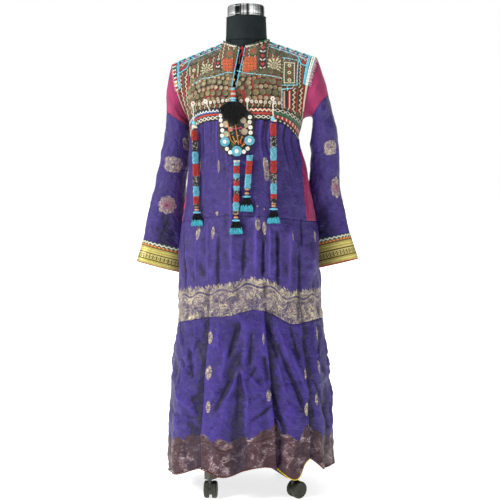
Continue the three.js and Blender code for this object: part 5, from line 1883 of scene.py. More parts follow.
def add_sprigs(name, made):
    """One piece of several sprigs, each given as its points, its UVs and its heart values."""
    points, quads, fans, uvs, hearts, start = [], [], [], [], [], 0
    for grid, uv, heart in made:
        rings, sides = grid.shape[:2]
        points += [grid.reshape(-1, 3), grid[:1].mean(axis=1)]
        quads.append(grid_faces(rings, sides, True, start)[:, ::-1])
        inner, centre = start + np.arange(sides), start + rings * sides
        fans.append(np.stack([inner, np.roll(inner, -1), np.full(sides, centre)], axis=-1))
        uvs += [uv.reshape(-1, 2), uv[:1].mean(axis=1)]
        hearts += [heart.ravel(), heart[0, :1]]
        start = centre + 1
    faces = [np.concatenate(quads), np.concatenate(fans)]
    values = {"heart": np.concatenate(hearts)}
    return add_piece(name, np.concatenate(points), faces, SHARED["sprig"], np.concatenate(uvs), values)


def skirt_sprigs(name, turn, z):
    """The sprigs whose places lie on a panel, on its own cloth; the back has ones like the front's."""
    rng = np.random.default_rng(RNG_SEED + 7)
    made = []
    for kind, at, height, half, tall in SPRIGS:
        for middle in (at, 181 - at):
            x, y, share, heart = sprig_disc(kind, rng)
            if not (turn.min() + 3 < middle < turn.max() - 3):
                continue
            column = np.argmin(np.abs(turn[0] - middle))
            if not (z[:, column].min() + tall * 0.8 < height < z[:, column].max() - tall * 0.8):
                continue
            spots, heights = middle + x * half / ARC, height + y * tall
            grid = skirt_point(spots, heights, sprig_out(share))
            made.append((grid, skirt_uv(spots, heights), heart))
    return [add_sprigs(f"sprigs_{name}", made)] if made else []


def sleeve_sprigs(side, part, start, end):
    rng = np.random.default_rng(RNG_SEED + 8)
    made = []
    for kind, at, angle, half, tall in SLEEVE_SPRIGS[side]:
        x, y, share, heart = sprig_disc(kind, rng)
        if not start < at < end:
            continue
        # Millimetres for one step along the sleeve, and for one degree round it
        along = sleeve_point(side, np.array([at - 0.3, at + 0.3]), np.full(2, float(angle)))
        across = sleeve_point(side, np.full(2, float(at)), np.array([angle - 4.0, angle + 4.0]))
        pitch, wide = np.linalg.norm(along[1] - along[0]) / 0.6, np.linalg.norm(across[1] - across[0]) / 8.0
        way = 1 if side == "r" else -1
        spots, angles = at - y * tall / pitch, angle + way * x * half / wide
        grid = sleeve_cloth(side, spots, angles, sprig_out(share))
        made.append((grid, sleeve_uv(spots, angles), heart))
    return [add_sprigs(f"sprigs_sleeve_{part}_{side}", made)] if made else []


# Coins, beads and buttons on the yoke, trims on the shoulders, neck binding and tie
AQUA = "6fc8dc"
COIN_ROWS = table(
    "down start end count radius",
    (0.46, -0.66, 0.50, 26, 6.0),
    (0.495, -0.68, 0.50, 25, 6.2),
    (0.555, -0.70, 0.51, 22, 5.9),
    (0.62, -0.71, 0.51, 16, 8.8),
    (0.705, -0.71, 0.51, 20, 6.6),
    (0.78, -0.71, 0.52, 16, 8.8),
    (0.868, -0.70, 0.52, 19, 6.6),
)
COIN_TONES = (
    ("625c44", "6c664e", "565038"),
    ("5c563e", "6c664e", "7a7054"),
    ("a88462", "9c8460", "8e7650"),
    ("847a5c", "746c50", "665f44"),
    ("a8987c", "948466", "a08a70"),
    ("7a7052", "86794e", "6c6446"),
    ("a8967a", "98825e", "8e7e62"),
)
COIN_THICK = 6.0
# Rows of buttons: x at both ends, z at both ends, how many and their radius
BUTTON_ROWS = (
    (-148, -24, 1154, 1163, 11, 5.2),
    (-2, 110, 1160, 1154, 10, 5.2),
    (9, 60, 1322, 1337, 6, 5.4),
    (-62, -19, 1337, 1323, 6, 5.2),
)
EDGING = (AQUA, AQUA, AQUA, "d8efe8")
# Lines of beads: face, colours, then x and z of each corner
BEAD_LINES = (
    ("front", EDGING, (-8, 1247), (13, 1240), (40, 1236), (76, 1232), (98, 1228), (118, 1223)),
    (
        "front", EDGING, (-16, 1241), (-34, 1243), (-56, 1238), (-80, 1231), (-112, 1230), (-130, 1221),
        (-145, 1212),
    ),
    ("front", EDGING, (116, 1204), (158, 1205), (158, 1279), (112, 1286)),
    ("front", EDGING, (116, 1140), (118, 1192), (146, 1196)),
    ("back", (AQUA,), (-120, 1222), (-60, 1234), (0, 1240), (60, 1234), (120, 1222)),
)
# Bead rows along the shoulder: how far in from its edge, colours and radius
SHOULDER_ROWS = (
    (0.02, ("3a7f94", AQUA, AQUA, "e8e4d8"), 2.6),
    (0.055, ("e8e4d8", AQUA, "c8648c", AQUA, "2a3a5c"), 2.6),
    (0.09, (AQUA, "d8d2c8", AQUA, "b09ab0"), 2.4),
)
SHOULDER_COINS = ((0.135, 6.4), (0.17, 6.8))
# Beads of a line outside the yoke's patches, for each side
CORNER_LINES = {1: ((154, 1294), (166, 1268), (186, 1260)), -1: ((-163, 1294), (-172, 1264), (-196, 1250))}


def disc_sizes(radius, thick):
    return np.stack([radius, radius, np.full(len(radius), thick)], axis=-1)


def bead_line(heap, face, corners, pitch, radius, colours):
    """Beads in a line over the yoke through corners given by x and z."""
    flat = along_path(corners, path_count(corners, pitch))
    places, frames = on_cloth(face, flat[:, 0], flat[:, 1], 0.4 + radius * 0.6)
    heap.spread(BEAD, places, frames, radius, colours)


def make_coins():
    rng = np.random.default_rng(RNG_SEED + 1)
    coins, buttons = Heap(), Heap()
    for (down, start, end, count, radius), tones in zip(zip(*COIN_ROWS.values()), COIN_TONES):
        count = int(count)
        across = np.linspace(start, end, count) + rng.normal(0, 0.003, count)
        fall = down + rng.normal(0, 0.005, count) + 0.03 * np.clip(-across - 0.35, 0, 1)
        places, frames = sewn("front", across, fall, 1.0 + np.where(np.arange(count) % 2, 0.9, 0.3))
        frames = tilted(frames, rng.uniform(0, 360, count))
        size = radius * rng.uniform(0.9, 1.08, count)
        coins.spread(COIN, places, frames, disc_sizes(size, COIN_THICK), shades(rng, tones, count, 0.2))
    coins.piece("yoke_coins", coin_finish(), replaced=["coin_row_1", "coin_row_2", "coin_row_3"])
    for x0, x1, z0, z1, count, size in BUTTON_ROWS:
        places, frames = on_cloth("front", np.linspace(x0, x1, count), np.linspace(z0, z1, count), 1.0)
        white = shades(rng, ("d8d0bc", "c9bfa8", "e2dccc"), count, 0.08)
        buttons.spread(BUTTON, places, frames, (size, size, 5.0), white)
        hearts = shades(rng, ("a8443a", "8c3a30", "b8a890"), count)
        buttons.spread(BEAD, places + frames[:, 2] * 1.2, frames, 1.7, hearts)
    return buttons


def make_trims():
    rng = np.random.default_rng(RNG_SEED + 2)
    beads, coin_line, fringe = make_coins(), Heap(), Heap()
    # Turquoise edging of the slit, and the lines round the patches
    for side in (-1.0, 1.0):
        places, frames = sewn("front", side * 0.007, np.linspace(0.02, SLIT["deep"] - 0.01, 50), 1.3)
        beads.spread(BEAD, places, frames, 1.8, shades(rng, (AQUA, "58b6cf"), 50))
    for face, colours, *corners in BEAD_LINES:
        bead_line(beads, face, corners, 2.8, 1.8, colours)
    for face in ("front", "back"):
        for sign in (1, -1):
            # Bead rows along the shoulder with rows of small grey coins beneath
            for inset, colours, radius in SHOULDER_ROWS:
                places, frames = sewn(face, sign * np.linspace(0.38, 0.95 - inset, 40), inset, 1.4)
                beads.spread(BEAD, places, frames, radius, [colours[i // 2 % len(colours)] for i in range(40)])
            for row, (inset, radius) in enumerate(SHOULDER_COINS):
                across = sign * np.linspace(0.4, 0.8 - row * 0.04, 15)
                places, frames = sewn(face, across, inset, 1.0 + (np.arange(15) % 2) * 0.6)
                grey = shades(rng, ("6c6854", "5a5746", "7c7864"), 15)
                coin_line.spread(COIN, places, frames, (radius, radius, COIN_THICK), grey)
            make_epaulet(beads, fringe, rng, face, sign)
    trims = [f"trim_{face}_{side}" for face in ("front", "back") for side in ("l", "r")]
    beads.piece("bead_work", SHARED["beads"], replaced=trims)
    coin_line.piece("shoulder_coins", coin_finish())
    fringe.piece("shoulder_fringe", SHARED["yarn"])


def make_epaulet(beads, fringe, rng, face, sign):
    """Strips of turquoise beads near the shoulder's edge, columns of coloured beads and white threads outside them."""
    rows, left = 36, sign > 0
    fall = np.linspace(0.015, 0.47, rows)
    marks = ("c8281e", "2f7a4a", "c8281e", "20242c", "c8281e", "d8b030", "b8281e")
    mixed = [marks[i // 5 % 7] if i % 5 > 1 else "f0ece2" for i in range(rows)]
    if left:
        mixed = ["f0ece2" if i % 4 else "c8dce0" for i in range(rows)]
    for share, radius, lift in ((0.905, 2.4, 1.5), (0.925, 2.4, 1.5), (0.955, 2.7, 1.7), (0.98, 2.7, 1.7)):
        places, frames = sewn(face, sign * share, fall, lift)
        colours = shades(rng, (AQUA, "5ab4cc", "7cccdc"), rows) if share < 0.95 else mixed
        beads.spread(BEAD, places, frames, radius, colours)
    bead_line(beads, face, CORNER_LINES[sign], 2.6, 2.2, (AQUA,))
    count = 27 if left else 16
    start, frames = sewn(face, sign * 0.985, np.linspace(0.03, 0.46, count), 1.0)
    t = np.linspace(0, 1, 5)[:, None]
    for i in range(count):
        reach = rng.uniform(7, 12) if left else rng.uniform(3, 5)
        path = start[i] + t * np.array([sign * reach, 0, 0]) + frames[i, 2] * 1.6 * np.sin(t * 2.2)
        path = path + np.array([0, rng.uniform(-1, 1), -rng.uniform(2.5, 7)]) * t**2
        fringe.tube(path, np.linspace(0.85, 0.45, 5), 4, varied(rng, "efeee8", 0.8, 1.0), up=(0, 1, 0.2))
    # Cream braid along the armhole below the strip, its edge, and a dark red row inside it
    for share, low, high, radius, code in (
        (0.975, 0.47, 0.86 if left else 0.52, 4.2, "d6ccb2"),
        (0.992, 0.46, 0.97, 1.5, "d9d1b8"),
        (0.93, 0.5, 0.95, 2.2, "8c2a22"),
    ):
        path, _ = sewn(face, sign * share, np.linspace(low, high, 40), 0.6)
        fringe.tube(path, radius * twisted(0.85, 0.15, 2.3, len(path)), 7, code, up=(0, 1, 0.2))


def make_neck():
    """Corded binding round the neck, and a red tie with its knot and two ends."""
    start = SLIT["wide"] / TOP["neck"] / (math.pi / 2) * TOP["share"] + 0.012
    shares = np.linspace(start, TOP["share"], 40)
    behind = np.linspace(TOP["share"], -TOP["share"], 90)[1:-1]
    parts = (("front", shares), ("back", behind), ("front", -shares[::-1]))
    path = np.concatenate([patch(face, across, 0 * across) for face, across in parts])
    path = path + unit(path * np.array([1, 1, 0])) * 0.6 + np.array([0, 0, 3.1])
    share = np.arange(len(path)) / len(path)
    green = np.exp(-(((share - 0.2) / 0.05) ** 2)) + np.exp(-(((share - 0.8) / 0.05) ** 2))
    tint = mix(linear("1f4434"), linear("2f8a5c"), np.clip(green, 0, 1)[:, None])
    binding, tie = Heap(), Heap()
    binding.tube(path, twisted(2.2, 0.3, 1.7, len(path)), 8, tint)
    binding.piece("neck_cord", SHARED["yarn"], replaced=["neck_binding"])
    knot = on_yoke("front", 0.0, 0.03, 1.1)
    loop = turned([(0, -1), (0.7, -0.75), (1, 0), (0.7, 0.75), (0, 1)], 10)
    for i, (dx, dz, size) in enumerate(((0, 0, 4.6), (-3, -1.2, 3.2), (3.2, -0.6, 3.0), (0, 2.2, 3.0))):
        tie.spread(loop, knot + np.array([dx, -0.4 * i, dz]), UPRIGHT, size, "b3221a")
    lean = np.radians(30)
    t = np.linspace(0, 1, 14)[:, None]
    for tilt, long in ((7, 44), (-9, 32)):
        way = np.array([math.sin(math.radians(-tilt)), -math.sin(lean), -math.cos(lean)])
        path = knot + t * long * way + np.array([1.2, 0, 0]) * np.sin(t * 7)
        tie.tube(path, np.linspace(1.5, 1.1, 14), 6, "a81e18", up=(0, 1, 0))
        for k in range(9):
            end = path[-1] + np.array([math.sin(k * 2.4) * 2.4, math.cos(k * 1.7) * 1.2 - 1, -7.0 - (k % 3)])
            tie.tube(np.linspace(path[-1], end, 4), 0.45, 4, "b82a20", up=(0, 1, 0))
    tie.piece("tie_cord", SHARED["yarn"], replaced=["neck_tie"])


# Amulet and bead strands
PAD = {"x": -10.5, "half": 52, "top": 1150, "straight": 1054, "thick": 5, "out": 4}
PAD_GRID = (44, 32)
ROSETTES = ((-40, 1044.6, 14), (27.5, 1047, 14), (-6.8, 1017, 15))
STEM = {"x": -16, "z": 1196, "radii": (6, 9, 8, 9, 9, 7.5), "bead": 6.4, "near": 0.7}
STEM_COLOURS = (AQUA, "c8281e", "e8e4d8", "c8281e", "8fd4e0", AQUA)
TUFT = {"x": -15, "z": 1155, "half": 15, "spread": 41, "long": 66, "side": 28, "count": 240}
PAD_BUTTONS = (
    (-55.5, 1106), (-53, 1092), (-51, 1077), (-52, 1062), (31, 1099), (33, 1084), (33, 1069),
    (-37, 1024), (-27, 1014), (13.5, 1015), (24.5, 1024), (32, 1113), (-56, 1119),
)
PAD_COINS = ((-38, 1094, 9.5), (-36.8, 1066, 9), (14.4, 1072.6, 9.5), (12, 1104, 8.5), (-24, 1080, 7), (20, 1090, 7))
BUGLES = (
    ("d8781e", (-33.4, 1107), (-24.5, 1051), (-11.9, 1036)),
    ("d88a24", (-11.1, 1096), (-1.6, 1036)),
    ("b8306a", (-26, 1079), (9, 1084)),
    ("d8b030", (-18, 1060), (-10, 1040)),
    ("c8281e", (0, 1046), (10, 1034), (14, 1046)),
    ("d8781e", (8, 1060), (2, 1040)),
    ("3f8a4a", (-22, 1040), (-14, 1030)),
    ("d8b030", (6, 1030), (16, 1038)),
)
# Two short cords beside the pad, and the height where they pass from the yoke to the skirt
SIDE_CORDS = (((-101, 1163), (-96, 1150), (-88, 1136)), ((23, 1163), (22.5, 1140), (23, 1116)))
SIDE_CORD_PASS = 1142
CORD_WHITE = "e6e0d0"
YARN_BLACK = "08070a"


def pad_point(x, z, out):
    turn = np.degrees(np.arcsin(np.clip((x - body["shift"](z)) / body["half"](z), -1, 1)))
    return body_point(turn, z, out)


def pad_place(x, z, out):
    """A place on the pad's face and its frame."""
    x, z = np.broadcast_arrays(np.asarray(x, float), np.asarray(z, float))
    frames = frames_on(lambda i, j: pad_point(i, j, PAD["out"]), x, z, 0.5)
    return pad_point(x, z, PAD["out"] + PAD["thick"] + out), frames


def make_pad():
    """The pad: a crowned front and a flatter back, joined round the rim."""
    down, across = shares_over(*PAD_GRID)
    across = 2 * across - 1
    z = mix(PAD["top"], PAD["straight"] - PAD["half"] + 1.5, down)
    under = np.maximum(PAD["straight"] - z, 0)
    half = np.sqrt(np.maximum(PAD["half"] ** 2 - under**2, 30)) * (1 - 0.62 * smooth((z - 1114) / 34))
    x = PAD["x"] + half * across
    to_round = PAD["half"] - np.hypot(across * half, under) + 2
    rim = np.minimum(np.minimum(half * (1 - np.abs(across)), (PAD["top"] - z)), to_round)
    crown = np.sqrt(np.clip(rim / 7, 0, 1))
    front = pad_point(x, z, PAD["out"] + 1.6 + (PAD["thick"] - 1.9) * crown)
    back = pad_point(x, z, PAD["out"] + 1.4 - 1.2 * crown)
    points = np.concatenate([front.reshape(-1, 3), back.reshape(-1, 3)])
    many = down.size
    faces = grid_faces(*down.shape)
    ids = np.arange(many).reshape(down.shape)
    edge = np.concatenate([ids[0, :-1], ids[:-1, -1], ids[-1, :0:-1], ids[:0:-1, 0]])
    after = np.roll(edge, -1)
    walls = np.stack([edge, after, after + many, edge + many], axis=-1)
    faces = [faces, faces[:, ::-1] + many, walls]
    uv = np.stack([x / 10, z / 10], axis=-1).reshape(-1, 2)
    felt = plain_finish("black_felt", tone("1d1b1c"), tone("0c0b0c"), 34.0, 0.5)
    pad = add_piece("amulet_body", points, faces, felt, np.concatenate([uv, uv]), replaced=["amulet_pad"])


def make_rosette(beads, rng, x, z, radius):
    """A domed turquoise disc with three rings of beads and a button at its middle."""
    disc = turned([(0, 0), (0.97, 0), (0.97, 0.9), (0.5, 1.6), (0, 1.6)], 28)
    beads.spread(disc, *pad_place(x, z, 0.6), (radius, radius, 1.4), "2a6f80")
    for share, size in ((0.88, 1.75), (0.68, 1.7), (0.5, 1.5)):
        many = int(2 * math.pi * share * radius / (size * 1.9))
        spots = ring((x, z, 0), share * radius, share * radius, circle(many))
        places, frames = pad_place(spots[:, 0], spots[:, 1], 2.2 + (1 - share) * 2)
        beads.spread(BEAD, places, frames, size, shades(rng, (AQUA, "58b4d0", "8ad6e4"), many))
    place, frame = pad_place(x, z, 3.0)
    beads.spread(BUTTON, place, frame, (radius * 0.42, radius * 0.42, 4.5), "efece2")
    beads.spread(BEAD, place + frame[2] * 2.0, frame, 1.0, "1a1816")


def knot_loops(beads, centre, reach, ahead):
    """Six pale loops round the end of a white cord."""
    loops = ring((0, 0, 0), reach, reach, circle(6), -ahead)[:, [0, 2, 1]]
    beads.spread(BEAD, centre + loops, UPRIGHT, (3.0, 2.0, 3.0), "e4dfd2")


def make_amulet():
    rng = np.random.default_rng(RNG_SEED + 3)
    make_pad()
    beads, coins, cord, tuft = Heap(), Heap(), Heap(), Heap()
    for rosette in ROSETTES:
        make_rosette(beads, rng, *rosette)
    spots = np.array(PAD_BUTTONS, dtype=float)
    places, frames = pad_place(spots[:, 0] * 0.93, spots[:, 1], 0.3)
    beads.spread(BUTTON, places, frames, (6.2, 6.2, 4.6), ("ece8dc", "dcd6c4", "f1eee4"))
    beads.spread(BEAD, places + frames[:, 2] * 1.4, frames, 0.9, "4a3a2c")
    x, z, size = np.array(PAD_COINS, dtype=float).T
    places, frames = pad_place(x, z, 0.8)
    coins.spread(COIN, places, tilted(frames, rng.uniform(0, 90, len(x))), disc_sizes(size, 7.0), "b4a88c")
    coins.piece("amulet_coins", coin_finish())
    for corners in SIDE_CORDS:
        x, z = along_path(corners, 16).T
        above, _ = on_cloth("front", x, np.maximum(z, SIDE_CORD_PASS + 1), 2.4)
        path = np.where(z[:, None] > SIDE_CORD_PASS, above, pad_point(x, z, 3.4))
        cord.tube(path, twisted(1.9, 0.3, 1.9, len(path)), 7, CORD_WHITE, up=(0, 1, 0))
        knot_loops(beads, path[0], 4.4, 1.5)
    for code, *corners in BUGLES:
        flat = along_path(corners, path_count(corners, 5))
        places, frames = pad_place(flat[:, 0], flat[:, 1], 1.8)
        way = np.gradient(flat, axis=0)
        long = unit(frames[:, 0] * way[:, :1] + frames[:, 1] * way[:, 1:])
        axes = np.stack([unit(np.cross(long, frames[:, 2])), frames[:, 2], long], axis=1)
        beads.spread(BUGLE, places, axes, (1.25, 1.25, 2.4), shades(rng, (code,), len(flat)))
    many = 60
    x, z = rng.uniform(-44, 24, many), rng.uniform(1034, 1092, many)
    places, frames = pad_place(x, z, 0.9)
    mixed = shades(rng, ("d8b030", "3f8a4a", "c8281e", "e0a040", AQUA, "e8e4d8"), many)
    beads.spread(BEAD, places, frames, 1.5, mixed)
    make_stem(beads)
    beads.piece("amulet_beads", SHARED["beads"], replaced=["amulet_stem", "rosette_1", "rosette_2", "rosette_3"])
    make_tuft(tuft, rng)
    tuft.piece("amulet_yarn", SHARED["yarn"], replaced=["amulet_tuft"])
    cord.piece("amulet_cords", SHARED["yarn"])


def make_tuft(tuft, rng):
    """Black yarn that spreads over the pad from the foot of the stem."""
    ahead = body_point(np.asarray(0.0), np.asarray(TUFT["z"], float))[1] - PAD["out"] - PAD["thick"] - 5.5
    t = np.linspace(0, 1, 6)[:, None]
    for _ in range(TUFT["count"]):
        share, layer = rng.uniform(-1, 1), rng.uniform(0, 1)
        root = np.array([TUFT["x"] + share * TUFT["half"], ahead + 2 * layer, TUFT["z"] + rng.uniform(-2, 3)])
        long = TUFT["side"] + (TUFT["long"] - TUFT["side"]) * (1 - abs(share)) ** 0.8
        long = long * rng.uniform(0.7, 1.04)
        spread = TUFT["x"] + share * TUFT["spread"] + rng.normal(0, 2.5)
        tip = np.array([spread, ahead - 2.5 + 2 * layer, TUFT["z"] - long])
        sway = np.array([share * 4, -4.0, 4.0 * (1 - abs(share))]) * np.sin(t * math.pi)
        path = mix(root, tip, t) + sway + rng.normal(0, 0.5, (6, 3)) * t
        tuft.tube(path, np.linspace(1.2, 0.5, 6), 4, varied(rng, YARN_BLACK, 0.6, 1.8), up=(0, 1, 0.1))


def make_stem(beads):
    """Fat beads one over the other, with a ring of tiny dark ones."""
    foot = STEM["z"] - len(STEM["radii"]) * STEM["bead"]
    ahead = min(yoke_front(STEM["x"], STEM["z"]), yoke_front(STEM["x"], foot))
    y = ahead + STEM["near"] - max(STEM["radii"]) - 1.9
    barrel = turned([(0, -1), (0.55, -0.98), (0.9, -0.6), (1, 0), (0.9, 0.6), (0.55, 0.98), (0, 1)], 20)
    for i, (radius, code) in enumerate(zip(STEM["radii"], STEM_COLOURS)):
        place = (STEM["x"], y, STEM["z"] - (i + 0.5) * STEM["bead"])
        beads.spread(barrel, place, UPRIGHT, (radius, radius, 3.1), code)
    middle = (STEM["x"], y, STEM["z"] - 2.5 * STEM["bead"])
    beads.spread(BEAD, ring(middle, 8.2, 8.2, circle(16)), UPRIGHT, 0.9, "161412")


def yoke_front(x, z):
    high = TOP["neckZ"] - TOP["dipFront"]
    down = np.clip((high - z) / (high - waist_top(0)), 0, 1)
    return patch("front", np.asarray(x / 250.0), np.asarray(down))[1]


STRANDS = table(
    "top low cord bead shell roll wood ring tassel tip",
    (-143, -130, 1150, 1105, 1092, 1079, 861, 846, 837, 802),
    (-7, -10, 0, 996, 996, 990, 842, 824, 815, 780),
    (31, 18, 0, 1010, 1010, 1004, 911, 892, 882, 844),
    (95, 97, 1157, 1111, 1105, 1093, 869, 857, 844, 810),
)
TURQUOISE = ("6cc4da", "54b0cc", "8ad2e2")
RED = ("c02a1e", "a8241a", "cf3c28")
BLACK = ("171417", "2a2426", "171417", "b8b0a4")
WHITE = ("e8e4d8",)
# Colours of each strand from its top down, each with the height where it ends
STRETCHES = (
    (
        (1050, RED), (1018, BLACK), (983, TURQUOISE), (947, RED),
        (919, BLACK), (888, TURQUOISE), (868, RED), (860, BLACK),
    ),
    (
        (986, WHITE), (974, TURQUOISE), (953, RED), (940, TURQUOISE), (933, BLACK), (919, RED),
        (905, TURQUOISE), (893, BLACK), (872, RED), (847, TURQUOISE), (840, BLACK),
    ),
    ((990, TURQUOISE), (951, RED), (911, TURQUOISE)),
    (
        (1058, RED), (1026, BLACK), (989, TURQUOISE), (955, RED),
        (925, BLACK), (895, TURQUOISE), (880, RED), (868, BLACK),
    ),
)
STRAND_BEAD = turned([(0, -1), (0.8, -0.55), (0.8, 0.55), (0, 1)], 6)
STRAND = {"wide": 8.0, "deep": 5.8, "around": 14, "pitch": 2.7, "ahead": 7.0}
# Beads under a strand: from one height of its row to another, how far, size and colour
STRAND_FOOT = (
    ("wood", "ring", 0.15, (7.0, 6.0, 3.4), "c08a58"),
    ("wood", "ring", 0.42, (5.0, 4.6, 2.4), "1c1816"),
    ("wood", "ring", 0.75, (7.2, 6.2, 3.6), "c89060"),
    ("ring", "tassel", 0.45, (10.5, 7.6, 3.6), "5cbcd6"),
)


def front_of(x, z, reach):
    """How far forward the skirt's cloth comes near x at each height."""
    middle = np.degrees(np.arcsin((x - body["shift"](z)) / body["half"](z)))
    steps = np.arange(-8, 8.1, 0.5)
    p = skirt_point(middle[:, None] + steps, np.broadcast_to(z[:, None], (len(z), len(steps))), 0.0)
    band = 0.8 + 2 * (z[:, None] > 1106)
    ahead = np.where(np.abs(p[..., 0] - x[:, None]) < reach, p[..., 1] - band, 0)
    return ahead.min(axis=1)


def strand_middle(row, z):
    top = row["cord"] or row["bead"]
    share = np.clip((top - z) / (top - row["tip"]), 0, 1)
    x = mix(row["top"], row["low"], share)
    return np.stack([x, front_of(x, z, 9.5) - 0.4, z], axis=-1)


def strand_spot(row, z, ahead):
    """A point in front of a strand's line at one height."""
    return strand_middle(row, np.array([float(z)]))[0] - [0, ahead, 0]


def make_strands():
    rng = np.random.default_rng(RNG_SEED + 4)
    around, pitch = STRAND["around"], STRAND["pitch"]
    for k, (values, stretches) in enumerate(zip(zip(*STRANDS.values()), STRETCHES)):
        row = dict(zip(STRANDS, values))
        beads, yarn = Heap(), Heap()
        z = np.arange(row["roll"], row["wood"] - 1, -pitch)
        middle = strand_middle(row, z)
        padded = np.pad(middle[:, 1], 3, mode="edge")
        middle[:, 1] = np.convolve(padded, np.ones(7) / 7, mode="valid") - STRAND["ahead"]
        swell = 1 + 0.07 * np.sin(z * 0.35 + k) + 0.03 * np.sin(z * 0.9)
        for end, _ in stretches[:-1]:
            swell *= 1 - 0.13 * np.exp(-(((z - end) / 3.0) ** 2))
        for j, (centre, size) in enumerate(zip(middle, swell)):
            colours = next((c for end, c in stretches if z[j] > end), stretches[-1][1])
            phase = circle(around) + (j % 2) * math.pi / around
            places = ring(centre, STRAND["wide"] * size, STRAND["deep"] * size, phase, rng.normal(0, 0.2, around))
            beads.spread(STRAND_BEAD, places, UPRIGHT, (1.75, 1.75, 1.5), shades(rng, colours, around, 0.18))
        core = np.concatenate([middle[:1] + [0, 0, 3], middle, middle[-1:] - [0, 0, 4]])
        yarn.tube(core, np.concatenate([[3], 6.2 * swell, [3]]) * 0.85, 10, "2a2024", up=(0, 1, 0))
        make_strand_ends(row, beads, yarn, rng)
        beads.piece(f"strand_beads_{k + 1}", SHARED["beads"], replaced=[f"strand_{k + 1}"])
        make_tassel(row, yarn, rng)
        yarn.piece(f"tassel_yarn_{k + 1}", SHARED["yarn"], replaced=[f"tassel_{k + 1}"])


def make_strand_ends(row, beads, yarn, rng):
    """White cord, bead and shell above a strand, and the wood beads and ring under it."""
    if row["cord"]:
        z = np.linspace(row["cord"] + 8, row["bead"] + 3, 24)
        path = strand_middle(row, np.minimum(z, row["cord"]))
        path[:, 2] = z
        path[:, 1] -= 2.5
        path[:, 0] += 0.8 * np.sin(z * 0.35)
        yarn.tube(path, twisted(1.9, 0.35, 1.9, len(path)), 7, CORD_WHITE, up=(0, 1, 0))
        knot = path[0] - [0, 1.0, 0]
        knot_loops(beads, knot, 4.2, 1.0)
        beads.spread(BEAD, knot - [0, 2, 0], UPRIGHT, (2.2, 1.6, 2.2), "b8302a")
        beads.spread(ball(6, 14), strand_spot(row, row["bead"] - 3.0, 5), UPRIGHT, (6.2, 5.4, 6.2), AQUA)
        shell = turned([(0, -1), (0.6, -0.75), (0.95, -0.2), (1, 0.2), (0.7, 0.75), (0, 1)], 16)
        axes = np.array([[0.3, 0, 0.95], [0, 1, 0], [-0.95, 0, 0.3]])
        place = strand_spot(row, row["shell"] - 1.0, 5) + [1.5, 0, 0]
        beads.spread(shell, place, axes, (4.6, 4.2, 9.5), "ece4cc")
    for upper, lower, share, size, code in STRAND_FOOT:
        spot = strand_spot(row, mix(row[upper], row[lower], share), STRAND["ahead"])
        beads.spread(ball(6, 14), spot, UPRIGHT, size, code)
    beads.spread(BEAD, ring(spot, 10.2, 7.4, circle(18)), UPRIGHT, 1.9, shades(rng, TURQUOISE, 18))


def make_tassel(row, yarn, rng):
    """Black yarn under the ring, ending in curled turquoise tips."""
    top, foot = strand_middle(row, np.array([row["tassel"], row["tip"]]))
    top = top - [0, STRAND["ahead"], 0]
    front = min(top[1], foot[1] - 4)
    t = np.linspace(0, 1, 7)[:, None]
    for i in range(120):
        share, layer = rng.uniform(-1, 1), rng.uniform(-1, 1)
        root = top + np.array([share * 5.5, layer * 3.2, 1.0])
        tip_z = mix(row["tassel"], row["tip"], 0.56) + rng.uniform(-3, 4)
        tip = np.array([top[0] + share * 13.0 + rng.normal(0, 1), front + layer * 3.6, tip_z])
        path = mix(root, tip, t) + np.array([share * 3.4, 0, 0]) * np.sin(t * math.pi)
        yarn.tube(path, 0.95, 4, varied(rng, YARN_BLACK, 0.6, 1.8), up=(0, 1, 0.1))
        fall = row["tip"] + 2 + rng.uniform(-2, 7) * (0.5 + 0.5 * abs(share))
        curl = tip + np.array([share * 4.4, rng.uniform(-1.6, 0.4), fall - tip_z]) * t
        curl = curl + np.concatenate([1.5 * np.sin(t * 9 + i), 0 * t, np.sin(t * 12 + i * 2)], axis=1)
        yarn.tube(curl, np.linspace(1.35, 0.9, 7), 4, varied(rng, "4cb8cc", 0.7, 1.25), up=(0, 1, 0.1))


# Dress form and its stand
CAP_ROWS = (
    (0, 1413.3), (54.4, 1413.3), (55.2, 1414.4), (55.2, 1418.2), (54.4, 1419.2), (54.6, 1420.2), (55.0, 1421.4),
    (55.0, 1438.0), (54.6, 1441.6), (53.2, 1444.8), (50.6, 1446.5), (47.6, 1447.0), (30, 1446.8), (28.6, 1446.1),
    (27.2, 1446.6), (0, 1446.9),
)


def chrome_finish(name):
    """Polished metal with painted reflections: dark and bright streaks that run along it, set by the angle round its
    axis, and fine rubbed marks.
    """
    f = Finish(name)
    x, y, z = f.split(f.place())
    angle = y.around(x - ORIGIN[0] * MM)
    # Painted reflection: dark and bright streaks by the angle round the upright axis stand in for the surroundings
    # mirrored in the metal
    painted_reflection_streak = f.noise(f.point(angle * 2.1, 0.3, 0.7), 1.6, 3.0, 0.6).ramp(0.42, 0.6)
    rubbed = f.noise(f.point(x, y, z * 12.0), 60.0, 3.0)
    color = f.blend(painted_reflection_streak, "1d2022", "e9eaea")
    color = f.blend(rubbed.ramp(0.5, 0.8) * 0.25, color, "8c8f90")
    f.set(Base_Color=color, Roughness=0.16 + rubbed * 0.16, Metallic=0.85)
    return f.material


def linen_finish():
    """The form's fine dark cover cloth, smooth and a little dusty."""
    f = Finish("form_cover")
    where = f.place()
    x, y, z = f.split(where)
    weave = ((x + y) * 2400.0).sine() * (z * 2600.0).sine()
    dust = f.noise(where, 14.0, 5.0, 0.65)
    color = f.blend(dust.ramp(0.35, 0.7), "10171a", "1c2527")
    color = f.blend(weave.ramp(0.3, 0.9) * 0.2, color, "283233")
    f.set(Base_Color=color, Roughness=0.72 + dust * 0.12, Specular_IOR_Level=0.25)
    f.bump(weave * 0.3 + dust, 0.3, 0.0004)
    return f.material


